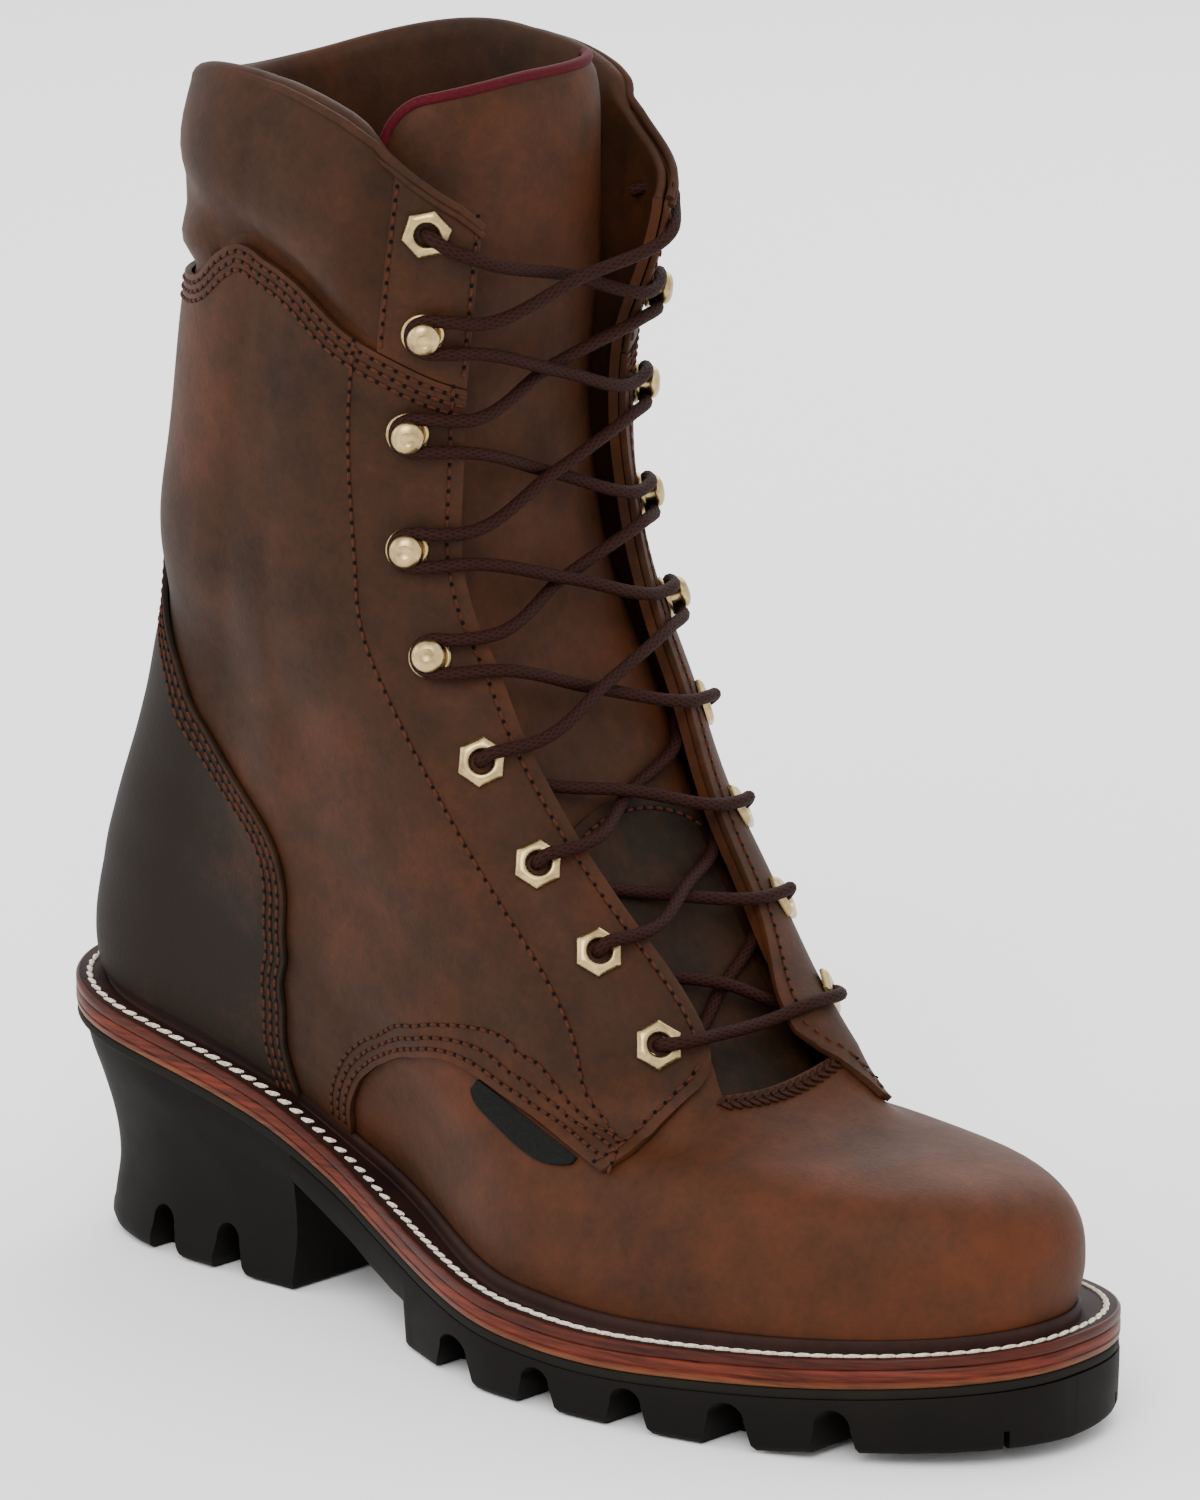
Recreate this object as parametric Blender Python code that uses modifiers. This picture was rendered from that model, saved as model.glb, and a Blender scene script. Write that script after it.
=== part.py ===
"""Right logger boot: a hollow leather upper with its overlays on a stacked, lugged sole.

Metres, +Z up. X runs toward the toe, Y from the lateral side (negative) to the medial side, and Z is
the height over the ground. The pieces are drawn from the sole's rear end at X 0 and then moved back
together, so that the origin lies on the ground in the middle of the heel's seat. A place on the upper is a level, 0 at the feather
and 1 at the collar's top, and a turn, 0 at the front's middle and 1 at the back's middle, negative
on the lateral side.
"""
import math
from collections import namedtuple

import bmesh
import bpy
import numpy as np
from mathutils import Matrix, Vector

# Sole sizes
SOLE_LENGTH = 0.306
BALL_WIDTH = 0.1104
HEEL_RISE = 0.0455
TOE_SPRING = 0.0069
WELT_THICKNESS = 0.0025
MIDSOLE_THICKNESS = 0.0047
SLIP_THICKNESS = 0.0025
OUTSOLE_DEPTH = 0.0117
STORM_HEIGHT = 0.0055
STORM_THICKNESS = 0.0026
WELT_INSIDE = 0.009
SLOT_DEPTH = 0.015
HEEL_SLOT_HEIGHT = 0.009
HEEL_SLOT_DEPTH = 0.014
HEEL_LENGTH = 0.092
HEEL_SEAT = 0.050
# Upper sizes
UPPER_RISE = 0.226
WALL = 0.0024
COLLAR_PUFF = 0.0046
COLLAR_INSIDE = 0.0058
COLLAR_NOTCH = 0.0012
COLLAR_CREST = 0.0032
QUARTER_THICKNESS = 0.0016
FACING_THICKNESS = 0.0014
COUNTER_THICKNESS = 0.0014
TAB_THICKNESS = 0.0009
# Inside sizes
INSOLE_THICKNESS = 0.004
TONGUE_TOP = 0.300
TONGUE_THICKNESS = 0.0026
TONGUE_PAD = 0.0045
PATCH_THICKNESS = 0.0011
# Metalwork and lace sizes
EYELET_RADIUS = 0.0056
EYELET_HOLE = 0.0023
EYELET_HEIGHT = 0.0016
HOOK_LENGTH = 0.0104
HOOK_WIDTH = 0.0072
HOOK_HEIGHT = 0.0062
LACE_RADIUS = 0.0017
# Clearances between neighbours
GAP = 0.00035
OVERLAY_GAP = 0.0006
COUNTER_GAP = 0.0009
INSOLE_SEAT = 0.0009
# Where an overlay bridges a hollow of the form, it stands this much prouder
CORNER_BRIDGE = 0.0006
ANKLE_BRIDGE = 0.0006
# Lace ends: spread in level from the stud, and share of the way from the throat to it
STRAND_SPREAD = 0.014
STRAND_START = 0.35

FOREFOOT_HEIGHT = WELT_THICKNESS + MIDSOLE_THICKNESS + SLIP_THICKNESS + OUTSOLE_DEPTH
QUARTER_LIFT = OVERLAY_GAP
COUNTER_LIFT = QUARTER_LIFT + QUARTER_THICKNESS + COUNTER_GAP
METAL_LIFT = QUARTER_LIFT + QUARTER_THICKNESS + GAP

# Height of the welt's top along the sole: heel rise and toe spring as shares of their sizes
Profile = namedtuple("Profile", "along rise spring")
SOLE_PROFILE = [
    Profile(0.00, 1.000, 0.00),
    Profile(0.13, 0.851, 0.00),
    Profile(0.27, 0.618, 0.00),
    Profile(0.40, 0.248, 0.00),
    Profile(0.52, 0.099, 0.00),
    Profile(0.66, 0.000, 0.00),
    Profile(0.80, 0.000, 0.26),
    Profile(1.00, 0.000, 1.00),
]

# Half outlines: where along the length each width stands, and the widths as shares of BALL_WIDTH
Side = namedtuple("Side", "heel_at waist_at ball_at heel waist ball back_round front_round")
SOLE_LATERAL = Side(0.125, 0.339, 0.598, 0.362, 0.337, 0.540, 2.11, 1.99)
SOLE_MEDIAL = Side(0.135, 0.420, 0.719, 0.349, 0.281, 0.460, 2.20, 2.57)

# Rings of the upper's outer face: x as shares of SOLE_LENGTH, rises over the welt and crowns as
# shares of UPPER_RISE, widths as shares of BALL_WIDTH; bend follows the sole's own curve
Ring = namedtuple("Ring", "name level back_x back_rise front_x front_rise bend crown "
                  "heel_at waist_at ball_at lateral_heel lateral_waist lateral_ball "
                  "medial_heel medial_waist medial_ball back_round front_round")
RINGS = [
    Ring("feather", 0.00, .031, .0015, .977, .0015, 1, 0,
         .12, .36, .60, .272, .240, .462, .263, .217, .389, 2.2, 2.25),
    Ring("wall", 0.07, .026, .037, .989, .062, 1, 0,
         .12, .36, .60, .285, .281, .480, .281, .254, .408, 2.2, 2.25),
    Ring("toe", 0.14, .025, .067, .979, .116, .95, 0,
         .13, .37, .61, .290, .303, .471, .290, .281, .399, 2.2, 2.25),
    Ring("cap", 0.21, .028, .097, .940, .154, .86, 0,
         .14, .38, .61, .290, .317, .448, .290, .299, .364, 2.2, 2.25),
    Ring("vamp", 0.27, .033, .124, .879, .171, .76, 0,
         .15, .39, .61, .290, .326, .417, .290, .308, .326, 2.2, 2.20),
    Ring("ball", 0.33, .039, .157, .807, .180, .66, 0,
         .16, .40, .61, .290, .326, .389, .290, .317, .313, 2.2, 2.20),
    Ring("base", 0.39, .049, .194, .729, .214, .56, 0,
         .17, .41, .64, .290, .335, .380, .290, .326, .328, 2.2, 2.60),
    Ring("throat", 0.45, .064, .242, .680, .282, .42, 0,
         .18, .42, .70, .299, .344, .380, .299, .335, .353, 2.2, 3.40),
    Ring("instep", 0.51, .082, .301, .627, .368, .30, 0,
         .20, .43, .70, .308, .353, .385, .308, .349, .371, 2.2, 3.60),
    Ring("lock", 0.57, .098, .367, .575, .453, .20, 0,
         .24, .45, .68, .317, .371, .399, .317, .367, .389, 2.2, 3.40),
    Ring("ankle", 0.64, .109, .445, .533, .552, .10, 0,
         .30, .47, .66, .344, .389, .408, .344, .389, .408, 2.1, 3.20),
    Ring("shin", 0.71, .114, .531, .497, .655, .04, 0,
         .38, .50, .62, .376, .408, .417, .376, .408, .417, 2.0, 2.80),
    Ring("calf", 0.79, .123, .639, .480, .754, 0, 0,
         .42, .52, .60, .399, .417, .421, .399, .417, .421, 2.0, 2.60),
    Ring("knee", 0.87, .136, .762, .474, .868, 0, 0,
         .45, .52, .60, .408, .421, .426, .408, .421, .426, 2.0, 2.60),
    Ring("seam", 0.94, .150, .890, .487, .990, 0, .018,
         .45, .52, .60, .399, .417, .421, .399, .417, .421, 2.0, 2.60),
    Ring("top", 1.00, .157, 1.034, .493, 1.088, 0, .084,
         .45, .52, .60, .394, .408, .412, .389, .399, .403, 2.0, 2.60),
]

# Columns round each side of the upper, from the throat's edge at 0 to the back's middle at 1
COLUMNS = [0, .02, .06, .115, .16, .205, .252, .268, .285, .317, .353, .414, .476, .539, .598, .626,
           .66, .69, .72, .75, .78, .81, .84, .87, .90, .925, .95, .975, 1]
FRONT_COLUMNS = [-.5, 0, .5]
LOW_LEVELS = [0, .035, .07, .105, .14, .175, .21, .245, .28, .31, .34, .37, .40]
SHAFT_SHARES = [.05, .11, .17, .24, .31, .39, .48, .57, .67, .78, .89, 1]
THROAT_BASE = LOW_LEVELS[-1]
BACK_SEAM = .9985

# Panel lines. A Point is a column or turn and the level there.
Point = namedtuple("Point", "turn level")
THROAT_EDGE = [
    Point(.080, .400), Point(.073, .430), Point(.070, .463), Point(.100, .532), Point(.127, .588),
    Point(.153, .647), Point(.160, .680), Point(.173, .713), Point(.180, .760), Point(.170, .840),
    Point(.170, .890), Point(.173, .932), Point(.163, 1.00),
]
COLLAR_SEAM = [
    Point(0, .890), Point(.045, .895), Point(.13, .907), Point(.21, .917), Point(.33, .935),
    Point(.45, .943), Point(.51, .945), Point(1, .940),
]
QUARTER_EDGE = [
    Point(0, .430), Point(.02, .413), Point(.115, .343), Point(.252, .230), Point(.268, .255),
    Point(.285, .290), Point(.317, .330), Point(.353, .343), Point(.414, .323), Point(.539, .228),
    Point(.598, .150), Point(.626, .062), Point(.66, .0),
]
COUNTER_EDGE = [
    Point(.705, 0), Point(.703, .12), Point(.673, .255), Point(.607, .393), Point(.600, .468),
    Point(.610, .505), Point(.650, .527), Point(.707, .547), Point(.740, .585), Point(.767, .63),
    Point(.84, .672), Point(.905, .71), Point(.93, .76), Point(.93, .94),
]
COUNTER_LEVELS = [.12, .19, .255, .325, .393, .468, .505, .527, .547, .585, .63, .672, .71, .76,
                  .85]
COUNTER_COLUMNS = [0, .07, .14, .22, .30, .38, .47, .58, .72, .86, 1]
QUARTER_LOW_ROWS = 6
QUARTER_CORNER = .012
FACING_REAR = .16
FACING_COLUMNS = [0, .02, .06, .115, FACING_REAR]
FACING_ROWS = 3
FACING_TOP = .993
TabRow = namedtuple("TabRow", "level front rear")
TAB_ROWS = [
    TabRow(.218, .357, .387), TabRow(.245, .338, .403), TabRow(.275, .347, .401),
    TabRow(.300, .360, .397), TabRow(.314, .371, .392),
]

# Tongue sections: level, half width in turns, and depth under the upper's outer face
TongueRow = namedtuple("TongueRow", "level half_turn depth pad")
TONGUE_ROWS = [
    TongueRow(.355, .13, .0036, 0), TongueRow(.40, .15, .0046, 0), TongueRow(.45, .18, .0062, .1),
    TongueRow(.51, .21, .0066, .3), TongueRow(.57, .225, .0068, .5), TongueRow(.64, .24, .0066, .7),
    TongueRow(.71, .25, .0074, .9), TongueRow(.79, .26, .0082, 1), TongueRow(.87, .26, .0090, 1),
    TongueRow(.94, .255, .0098, 1),
]
TONGUE_TOP_ROWS = [.35, .68, .92, 1]
TONGUE_COLUMNS = 8
PATCH_LEVELS = [.425, .46, .49, .515]

# Eyelets and hooks from the collar down, on the quarter's flap
Stud = namedtuple("Stud", "number kind turn level")
STUDS = [
    Stud(1, "eyelet", .247, .972), Stud(2, "hook", .243, .920), Stud(3, "hook", .250, .858),
    Stud(4, "hook", .253, .770), Stud(5, "hook", .243, .688), Stud(6, "eyelet", .210, .623),
    Stud(7, "eyelet", .177, .557), Stud(8, "eyelet", .147, .503), Stud(9, "eyelet", .123, .443),
]
# Hook seen from its side: share of HOOK_LENGTH away from the throat, share of HOOK_HEIGHT
HOOK_PROFILE = [
    (-.48, 0), (.48, 0), (.48, .15), (-.12, .18), (-.16, .40), (-.08, .60), (.10, .66), (.42, .64),
    (.50, .76), (.44, .94), (.0, 1), (-.28, .88), (-.41, .58), (-.41, .18), (-.48, .15),
]

# Outsole: underside of the sheet, then the lugs' ground line; x in shares of SOLE_LENGTH and
# heights in shares of OUTSOLE_DEPTH
UNDERSIDE = [
    (.308, 2.45), (.345, 1.80), (.395, 1.18), (.425, .96), (.452, .86), (.457, 0), (.60, 0),
    (.817, 0), (.869, .145), (.895, .20), (1, .36),
]
# Slots between the lugs: rear and front foot, and height of the top
Slot = namedtuple("Slot", "rear front height")
LUG_SLOTS = [
    Slot(.513, .562, .84), Slot(.618, .647, .70), Slot(.705, .733, .74), Slot(.788, .820, .86),
    Slot(.869, .896, 1.02),
]
HEEL_SLOTS = [Slot(.140, .160, 1), Slot(.214, .233, 1)]
# Heel block from the ground up: share of its height, insets from the sole's outline
HeelRow = namedtuple("HeelRow", "height back side")
HEEL_ROWS = [
    HeelRow(0, .0108, .0068), HeelRow(.05, .0086, .0056), HeelRow(.16, .0090, .0060),
    HeelRow(.34, .0104, .0066), HeelRow(.55, .0092, .0056), HeelRow(.75, .0055, .0036),
    HeelRow(.9, .0024, .0016), HeelRow(1, .0014, .0010),
]
HEEL_CURVE = .55
HEEL_ROUND = 2.3
BREAST_SLOPE = .003
HEEL_STEPS = 9

COLOURS = {
    "leather": ((.105, .040, .016, 1), .45, 0),
    "dark_leather": ((.045, .018, .010, 1), .5, 0),
    "midsole": ((.23, .055, .025, 1), .5, 0),
    "rubber": ((.021, .018, .016, 1), .65, 0),
    "slip": ((.030, .032, .022, 1), .6, 0),
    "lining": ((.12, .07, .04, 1), .8, 0),
    "brass": ((.52, .40, .20, 1), .35, 1),
    "lace": ((.048, .016, .011, 1), .8, 0),
    "tab": ((.01, .01, .01, 1), .8, 0),
}


def smooth(positions, rows, where):
    """Smooth curve through rows of values that stand at the positions, read at each where."""
    positions = np.asarray(positions, float)
    rows = np.asarray(rows, float)
    where = np.asarray(where, float)
    single = rows.ndim == 1
    if single:
        rows = rows[:, None]
    step = np.diff(positions)[:, None]
    rate = np.diff(rows, axis=0) / step
    slope = np.zeros_like(rows)
    slope[1:-1] = (rate[:-1] * step[1:] + rate[1:] * step[:-1]) / (step[:-1] + step[1:])
    slope[0] = 1.5 * rate[0] - 0.5 * slope[1]
    slope[-1] = 1.5 * rate[-1] - 0.5 * slope[-2]
    k = np.clip(np.searchsorted(positions, where, side="right") - 1, 0, len(positions) - 2)
    width = step[k][..., 0][..., None]
    t = (where - positions[k])[..., None] / width
    value = (1 + 2 * t) * (1 - t) ** 2 * rows[k] + t * (1 - t) ** 2 * width * slope[k]
    value = value + t * t * (3 - 2 * t) * rows[k + 1] + t * t * (t - 1) * width * slope[k + 1]
    return value[..., 0] if single else value


def ease(t):
    """Soft step from 0 to 1."""
    t = np.clip(t, 0, 1)
    return t * t * (3 - 2 * t)


def half_width(share, side):
    """Half width of an outline at a share of its length, 0 at the back."""
    rear = side.heel + (side.waist - side.heel) * ease(
        (share - side.heel_at) / (side.waist_at - side.heel_at))
    fore = side.waist + (side.ball - side.waist) * ease(
        (share - side.waist_at) / (side.ball_at - side.waist_at))
    width = np.where(share <= side.waist_at, rear, fore)
    back = np.clip((side.heel_at - share) / side.heel_at, 0, 1)
    front = np.clip((share - side.ball_at) / (1 - side.ball_at), 0, 1)
    width = width * np.maximum(1 - back ** side.back_round, 0) ** (1 / side.back_round)
    return width * np.maximum(1 - front ** side.front_round, 0) ** (1 / side.front_round)


def welt_top(x):
    """Height of the welt's top at x."""
    rise = [row.rise * HEEL_RISE + row.spring * TOE_SPRING for row in SOLE_PROFILE]
    along = [row.along for row in SOLE_PROFILE]
    return FOREFOOT_HEIGHT + smooth(along, rise, np.clip(np.asarray(x) / SOLE_LENGTH, 0, 1))


def read_line(points, turn):
    """Level of a panel line at a turn or column."""
    return np.interp(turn, [p.turn for p in points], [p.level for p in points])


def read_edge(points, level):
    """Turn of a panel edge at a level."""
    return np.interp(level, [p.level for p in points], [p.turn for p in points])


def arc_share(points, shares):
    """Points of a polyline at shares of its length."""
    run = np.concatenate([[0], np.cumsum(np.linalg.norm(np.diff(points, axis=0), axis=1))])
    run = run / run[-1]
    return np.stack([np.interp(shares, run, points[:, axis]) for axis in range(points.shape[1])],
                    axis=1)


class Form:
    """The upper's outer face as a fine grid, read at any level and turn."""

    LEVELS = 201
    TURNS = 120
    SAMPLES = 241

    def __init__(self):
        self.levels = np.linspace(0, 1, self.LEVELS)
        rows = smooth([r.level for r in RINGS], [r[2:] for r in RINGS], self.levels)
        self.points = np.stack([self.ring(Ring("", 0, *row)) for row in rows])
        along = np.gradient(self.points, axis=0)
        around = (np.roll(self.points, -1, axis=1) - np.roll(self.points, 1, axis=1)) / 2
        normal = np.cross(around, along)
        self.normals = normal / np.linalg.norm(normal, axis=2, keepdims=True)

    def ring(self, row):
        """One ring from the back's middle round the lateral side, the front and the medial side."""
        share = (1 + np.cos(np.linspace(0, math.pi, self.SAMPLES))) / 2
        back_x, front_x = row.back_x * SOLE_LENGTH, row.front_x * SOLE_LENGTH
        back_z = welt_top(back_x) + row.back_rise * UPPER_RISE
        front_z = welt_top(front_x) + row.front_rise * UPPER_RISE
        x = back_x + (front_x - back_x) * share
        sole_chord = welt_top(back_x) + (welt_top(front_x) - welt_top(back_x)) * share
        z = back_z + (front_z - back_z) * share + row.bend * (welt_top(x) - sole_chord)
        z = z + 4 * row.crown * UPPER_RISE * share * (1 - share)
        halves = []
        for sign, heel, waist, ball in ((-1, row.lateral_heel, row.lateral_waist, row.lateral_ball),
                                        (1, row.medial_heel, row.medial_waist, row.medial_ball)):
            side = Side(row.heel_at, row.waist_at, row.ball_at, heel, waist, ball,
                        row.back_round, row.front_round)
            y = sign * BALL_WIDTH * half_width(share, side)
            half = np.column_stack([x, y, z])
            halves.append(arc_share(half, np.linspace(0, 1, self.TURNS + 1)))
        lateral, medial = halves
        return np.concatenate([lateral[::-1], medial[1:-1]])

    def read(self, grid, level, turn):
        """Bilinear value of a grid at levels and turns, which wrap round the back."""
        level, turn = np.broadcast_arrays(np.asarray(level, float), np.asarray(turn, float))
        row = np.clip(level, 0, 1) * (self.LEVELS - 1)
        low = np.minimum(row.astype(int), self.LEVELS - 2)
        column = (turn + 1) * self.TURNS
        left = np.floor(column).astype(int)
        f = (row - low)[..., None]
        g = (column - left)[..., None]
        count = 2 * self.TURNS
        left, right = left % count, (left + 1) % count
        lower = grid[low, left] * (1 - g) + grid[low, right] * g
        upper = grid[low + 1, left] * (1 - g) + grid[low + 1, right] * g
        return lower * (1 - f) + upper * f

    def at(self, level, turn, lift=0):
        """Point on the form, lifted along its outward normal."""
        normal = self.normal(level, turn)
        return self.read(self.points, level, turn) + normal * np.asarray(lift, float)[..., None]

    def normal(self, level, turn):
        """Outward normal."""
        normal = self.read(self.normals, level, turn)
        return normal / np.linalg.norm(normal, axis=-1, keepdims=True)

    def level_over_welt(self, height, turn):
        """Level at which the form stands a height over the welt."""
        levels = np.linspace(0, .15, 46)
        points = self.at(levels, turn)
        return float(np.interp(height, points[:, 2] - welt_top(points[:, 0]), levels))


def turn_of(column, level, sign):
    """Turn of a column, which starts at the throat's edge."""
    edge = read_edge(THROAT_EDGE, level)
    return sign * (edge + (1 - edge) * column)


def corner_bridge(level, turn):
    """Extra lift of the flap's lower corner, which bridges the hollow over the instep."""
    edge = read_edge(THROAT_EDGE, level)
    column = (np.abs(turn) - edge) / (1 - edge)
    return CORNER_BRIDGE * ease(1.4 - abs(level - .435) / .06) * ease(1.3 - column / .25)


def make_collection(name):
    """A new collection in the scene."""
    collection = bpy.data.collections.new(name)
    bpy.context.scene.collection.children.link(collection)
    return collection


def make_material(name):
    """A plain material from the colour table."""
    colour, roughness, metallic = COLOURS[name]
    material = bpy.data.materials.new(name)
    material.use_nodes = True
    shader = material.node_tree.nodes["Principled BSDF"]
    shader.inputs["Base Color"].default_value = colour
    shader.inputs["Roughness"].default_value = roughness
    shader.inputs["Metallic"].default_value = metallic
    return material


class Model:
    """The boot's collections and materials, and how an object is added to them."""

    def __init__(self):
        self.parts = make_collection("logger_boot")
        self.cutters = make_collection("cutters")
        self.materials = {name: make_material(name) for name in COLOURS}

    def add(self, name, mesh, material):
        """A named part from a mesh."""
        obj = bpy.data.objects.new(name, mesh)
        self.parts.objects.link(obj)
        if not mesh.materials:
            mesh.materials.append(self.materials[material])
        mesh.shade_smooth()
        mesh.set_sharp_from_angle(angle=math.radians(40))
        return obj

    def cut(self, obj, cutter_mesh):
        """A Boolean cut by a hidden cutter."""
        cutter = bpy.data.objects.new(obj.name + "_cutter", cutter_mesh)
        self.cutters.objects.link(cutter)
        cutter.hide_render = True
        cutter.display_type = "WIRE"
        modifier = obj.modifiers.new("cut", "BOOLEAN")
        modifier.object = cutter
        return cutter

    def seat(self):
        """Move the boot so that the heel's seat is at the origin."""
        root = bpy.data.objects.new("heel_seat", None)
        self.parts.objects.link(root)
        for obj in list(self.parts.objects) + list(self.cutters.objects):
            if obj is not root:
                obj.parent = root
        root.location.x = -HEEL_SEAT


def mesh_from(name, points, faces):
    """A closed or open mesh whose faces point out."""
    mesh = bpy.data.meshes.new(name)
    mesh.from_pydata([tuple(map(float, p)) for p in points], [], faces)
    bm = bmesh.new()
    bm.from_mesh(mesh)
    bmesh.ops.recalc_face_normals(bm, faces=bm.faces[:])
    bm.to_mesh(mesh)
    bm.free()
    return mesh


def grid_faces(rows, columns):
    """Quads of a grid of points, rows first."""
    return [(i * columns + j, i * columns + j + 1, (i + 1) * columns + j + 1, (i + 1) * columns + j)
            for i in range(rows - 1) for j in range(columns - 1)]


def patch(model, name, points, material, thickness):
    """An overlay: an open grid of points with its thickness outward."""
    rows, columns = points.shape[:2]
    mesh = bpy.data.meshes.new(name)
    faces = grid_faces(rows, columns)
    flat = points.reshape(-1, 3)
    middle = faces[len(faces) // 2]
    normal = np.cross(flat[middle[1]] - flat[middle[0]], flat[middle[3]] - flat[middle[0]])
    centre = np.array([.12, 0, flat[middle[0]][2]])
    if np.dot(normal, flat[middle[0]] - centre) < 0:
        faces = [face[::-1] for face in faces]
    mesh.from_pydata([tuple(map(float, p)) for p in flat], [], faces)
    obj = model.add(name, mesh, material)
    shell = obj.modifiers.new("thickness", "SOLIDIFY")
    shell.thickness = thickness
    shell.offset = 1
    return obj


def tube(path, radius, sides=1):
    """A closed mesh tube along a smooth path."""
    curve = bpy.data.curves.new("tube", "CURVE")
    curve.dimensions = "3D"
    curve.bevel_depth = radius
    curve.bevel_resolution = sides
    curve.use_fill_caps = True
    spline = curve.splines.new("POLY")
    spline.points.add(len(path) - 1)
    for point, place in zip(spline.points, path):
        point.co = (*map(float, place), 1)
    obj = bpy.data.objects.new("tube", curve)
    bpy.context.scene.collection.objects.link(obj)
    bpy.context.view_layer.update()
    mesh = bpy.data.meshes.new_from_object(obj.evaluated_get(bpy.context.evaluated_depsgraph_get()))
    bpy.data.objects.remove(obj)
    bm = bmesh.new()
    bm.from_mesh(mesh)
    bmesh.ops.remove_doubles(bm, verts=bm.verts[:], dist=1e-5)
    bmesh.ops.recalc_face_normals(bm, faces=bm.faces[:])
    bm.to_mesh(mesh)
    bm.free()
    return mesh


def prism(profile, near, far):
    """A closed prism of an (x, z) profile between two y values."""
    bm = bmesh.new()
    face = bm.faces.new([bm.verts.new((x, near, z)) for x, z in profile])
    grown = bmesh.ops.extrude_face_region(bm, geom=[face])
    moved = [v for v in grown["geom"] if isinstance(v, bmesh.types.BMVert)]
    bmesh.ops.translate(bm, verts=moved, vec=(0, far - near, 0))
    bmesh.ops.recalc_face_normals(bm, faces=bm.faces[:])
    mesh = bpy.data.meshes.new("prism")
    bm.to_mesh(mesh)
    bm.free()
    return mesh


def upper_turns(level_of):
    """Turns and levels of the upper's columns for one row; level_of gives a column's level."""
    lateral = [(turn_of(c, level_of(c), -1), level_of(c)) for c in COLUMNS[::-1]]
    medial = [(turn_of(c, level_of(c), 1), level_of(c)) for c in COLUMNS[:-1]]
    edge = read_edge(THROAT_EDGE, level_of(0))
    front = [(edge * share, level_of(0)) for share in FRONT_COLUMNS]
    return lateral + front + medial


def collar_fade(turn):
    """1 on the padded collar, 0 on the flat facing in front of it."""
    edge = read_edge(THROAT_EDGE, 1)
    column = (abs(turn) - edge) / (1 - edge)
    return float(ease((column - FACING_REAR - .005) / .05))


# Collar rows: share of the way to the top, outer puff and inner padding as shares of their sizes
CollarRow = namedtuple("CollarRow", "share outer inner")
COLLAR_ROWS = [CollarRow(.33, .86, .7), CollarRow(.66, 1, 1), CollarRow(1, .62, .45)]


def upper_rows():
    """Each row's list of (turn, level, outer lift, inner lift), from the feather to the crest."""
    rows = []
    for low in LOW_LEVELS:
        rows.append([(turn, level, 0, -WALL) for turn, level in upper_turns(lambda c: low)])
    for share in SHAFT_SHARES:
        ring = upper_turns(lambda c: THROAT_BASE + (read_line(COLLAR_SEAM, c) - THROAT_BASE) * share)
        notch = -COLLAR_NOTCH if share == 1 else 0
        rows.append([(turn, level, notch * collar_fade(turn), -WALL) for turn, level in ring])
    for row in COLLAR_ROWS:
        ring = upper_turns(lambda c: read_line(COLLAR_SEAM, c)
                           + (1 - read_line(COLLAR_SEAM, c)) * row.share)
        rows.append([(turn, level, row.outer * COLLAR_PUFF * collar_fade(turn),
                      -WALL - row.inner * (COLLAR_INSIDE - WALL) * collar_fade(turn))
                     for turn, level in ring])
    return rows


def make_upper(model, form):
    """The hollow wall: a fine outer face, an inner face on every second row and column."""
    rows = upper_rows()
    columns = len(rows[0])
    top = len(rows)
    base = len(LOW_LEVELS) - 1
    first_front = len(COLUMNS)
    fronts = set(range(first_front, first_front + len(FRONT_COLUMNS)))
    points, outer, inner = [], {}, {}

    def keep(table, row, column, place):
        table[row, column] = len(points)
        points.append(place)

    for i, row in enumerate(rows):
        for j, (turn, level, lift, depth) in enumerate(row):
            if i > base and j in fronts:
                continue
            keep(outer, i, j, form.at(level, turn, lift))
            if i % 2 == 0 and j % 2 == 0:
                keep(inner, i, j, form.at(level, turn, depth))
    for j, (turn, level, lift, depth) in enumerate(rows[-1]):
        if j in fronts:
            continue
        crest = form.at(level, turn, (lift + depth) / 2)
        crest[2] += COLLAR_CREST * (.25 + .75 * collar_fade(turn))
        keep(outer, top, j, crest)
        if j % 2 == 0:
            keep(inner, top, j, form.at(level, turn, depth))

    faces = []

    def skin(table, row_step, column_step):
        for i in range(0, top, row_step):
            for j in range(0, columns, column_step):
                k = (j + column_step) % columns
                corners = [(i, j), (i, k), (i + row_step, k), (i + row_step, j)]
                if all(corner in table for corner in corners):
                    faces.append([table[corner] for corner in corners])

    def bridge(loop):
        for k in range(0, len(loop) - 1, 2):
            a, b, c = loop[k], loop[k + 1], loop[k + 2]
            faces.append([inner[a], outer[a], outer[b]])
            faces.append([inner[a], outer[b], inner[c]])
            faces.append([inner[c], outer[b], outer[c]])

    skin(outer, 1, 1)
    skin(inner, 2, 2)
    bottom = [(0, j) for j in range(columns)] + [(0, 0)]
    left, right = first_front - 1, first_front + len(FRONT_COLUMNS)
    rim = [(base, j) for j in range(left, right + 1)]
    rim += [(i, right) for i in range(base + 1, top + 1)]
    rim += [(top, j) for j in range(right + 1, columns)]
    rim += [(top, j) for j in range(0, left + 1)]
    rim += [(i, left) for i in range(top - 1, base - 1, -1)]
    bridge(bottom)
    bridge(rim)
    return model.add("upper", mesh_from("upper", points, faces), "leather")


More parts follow.
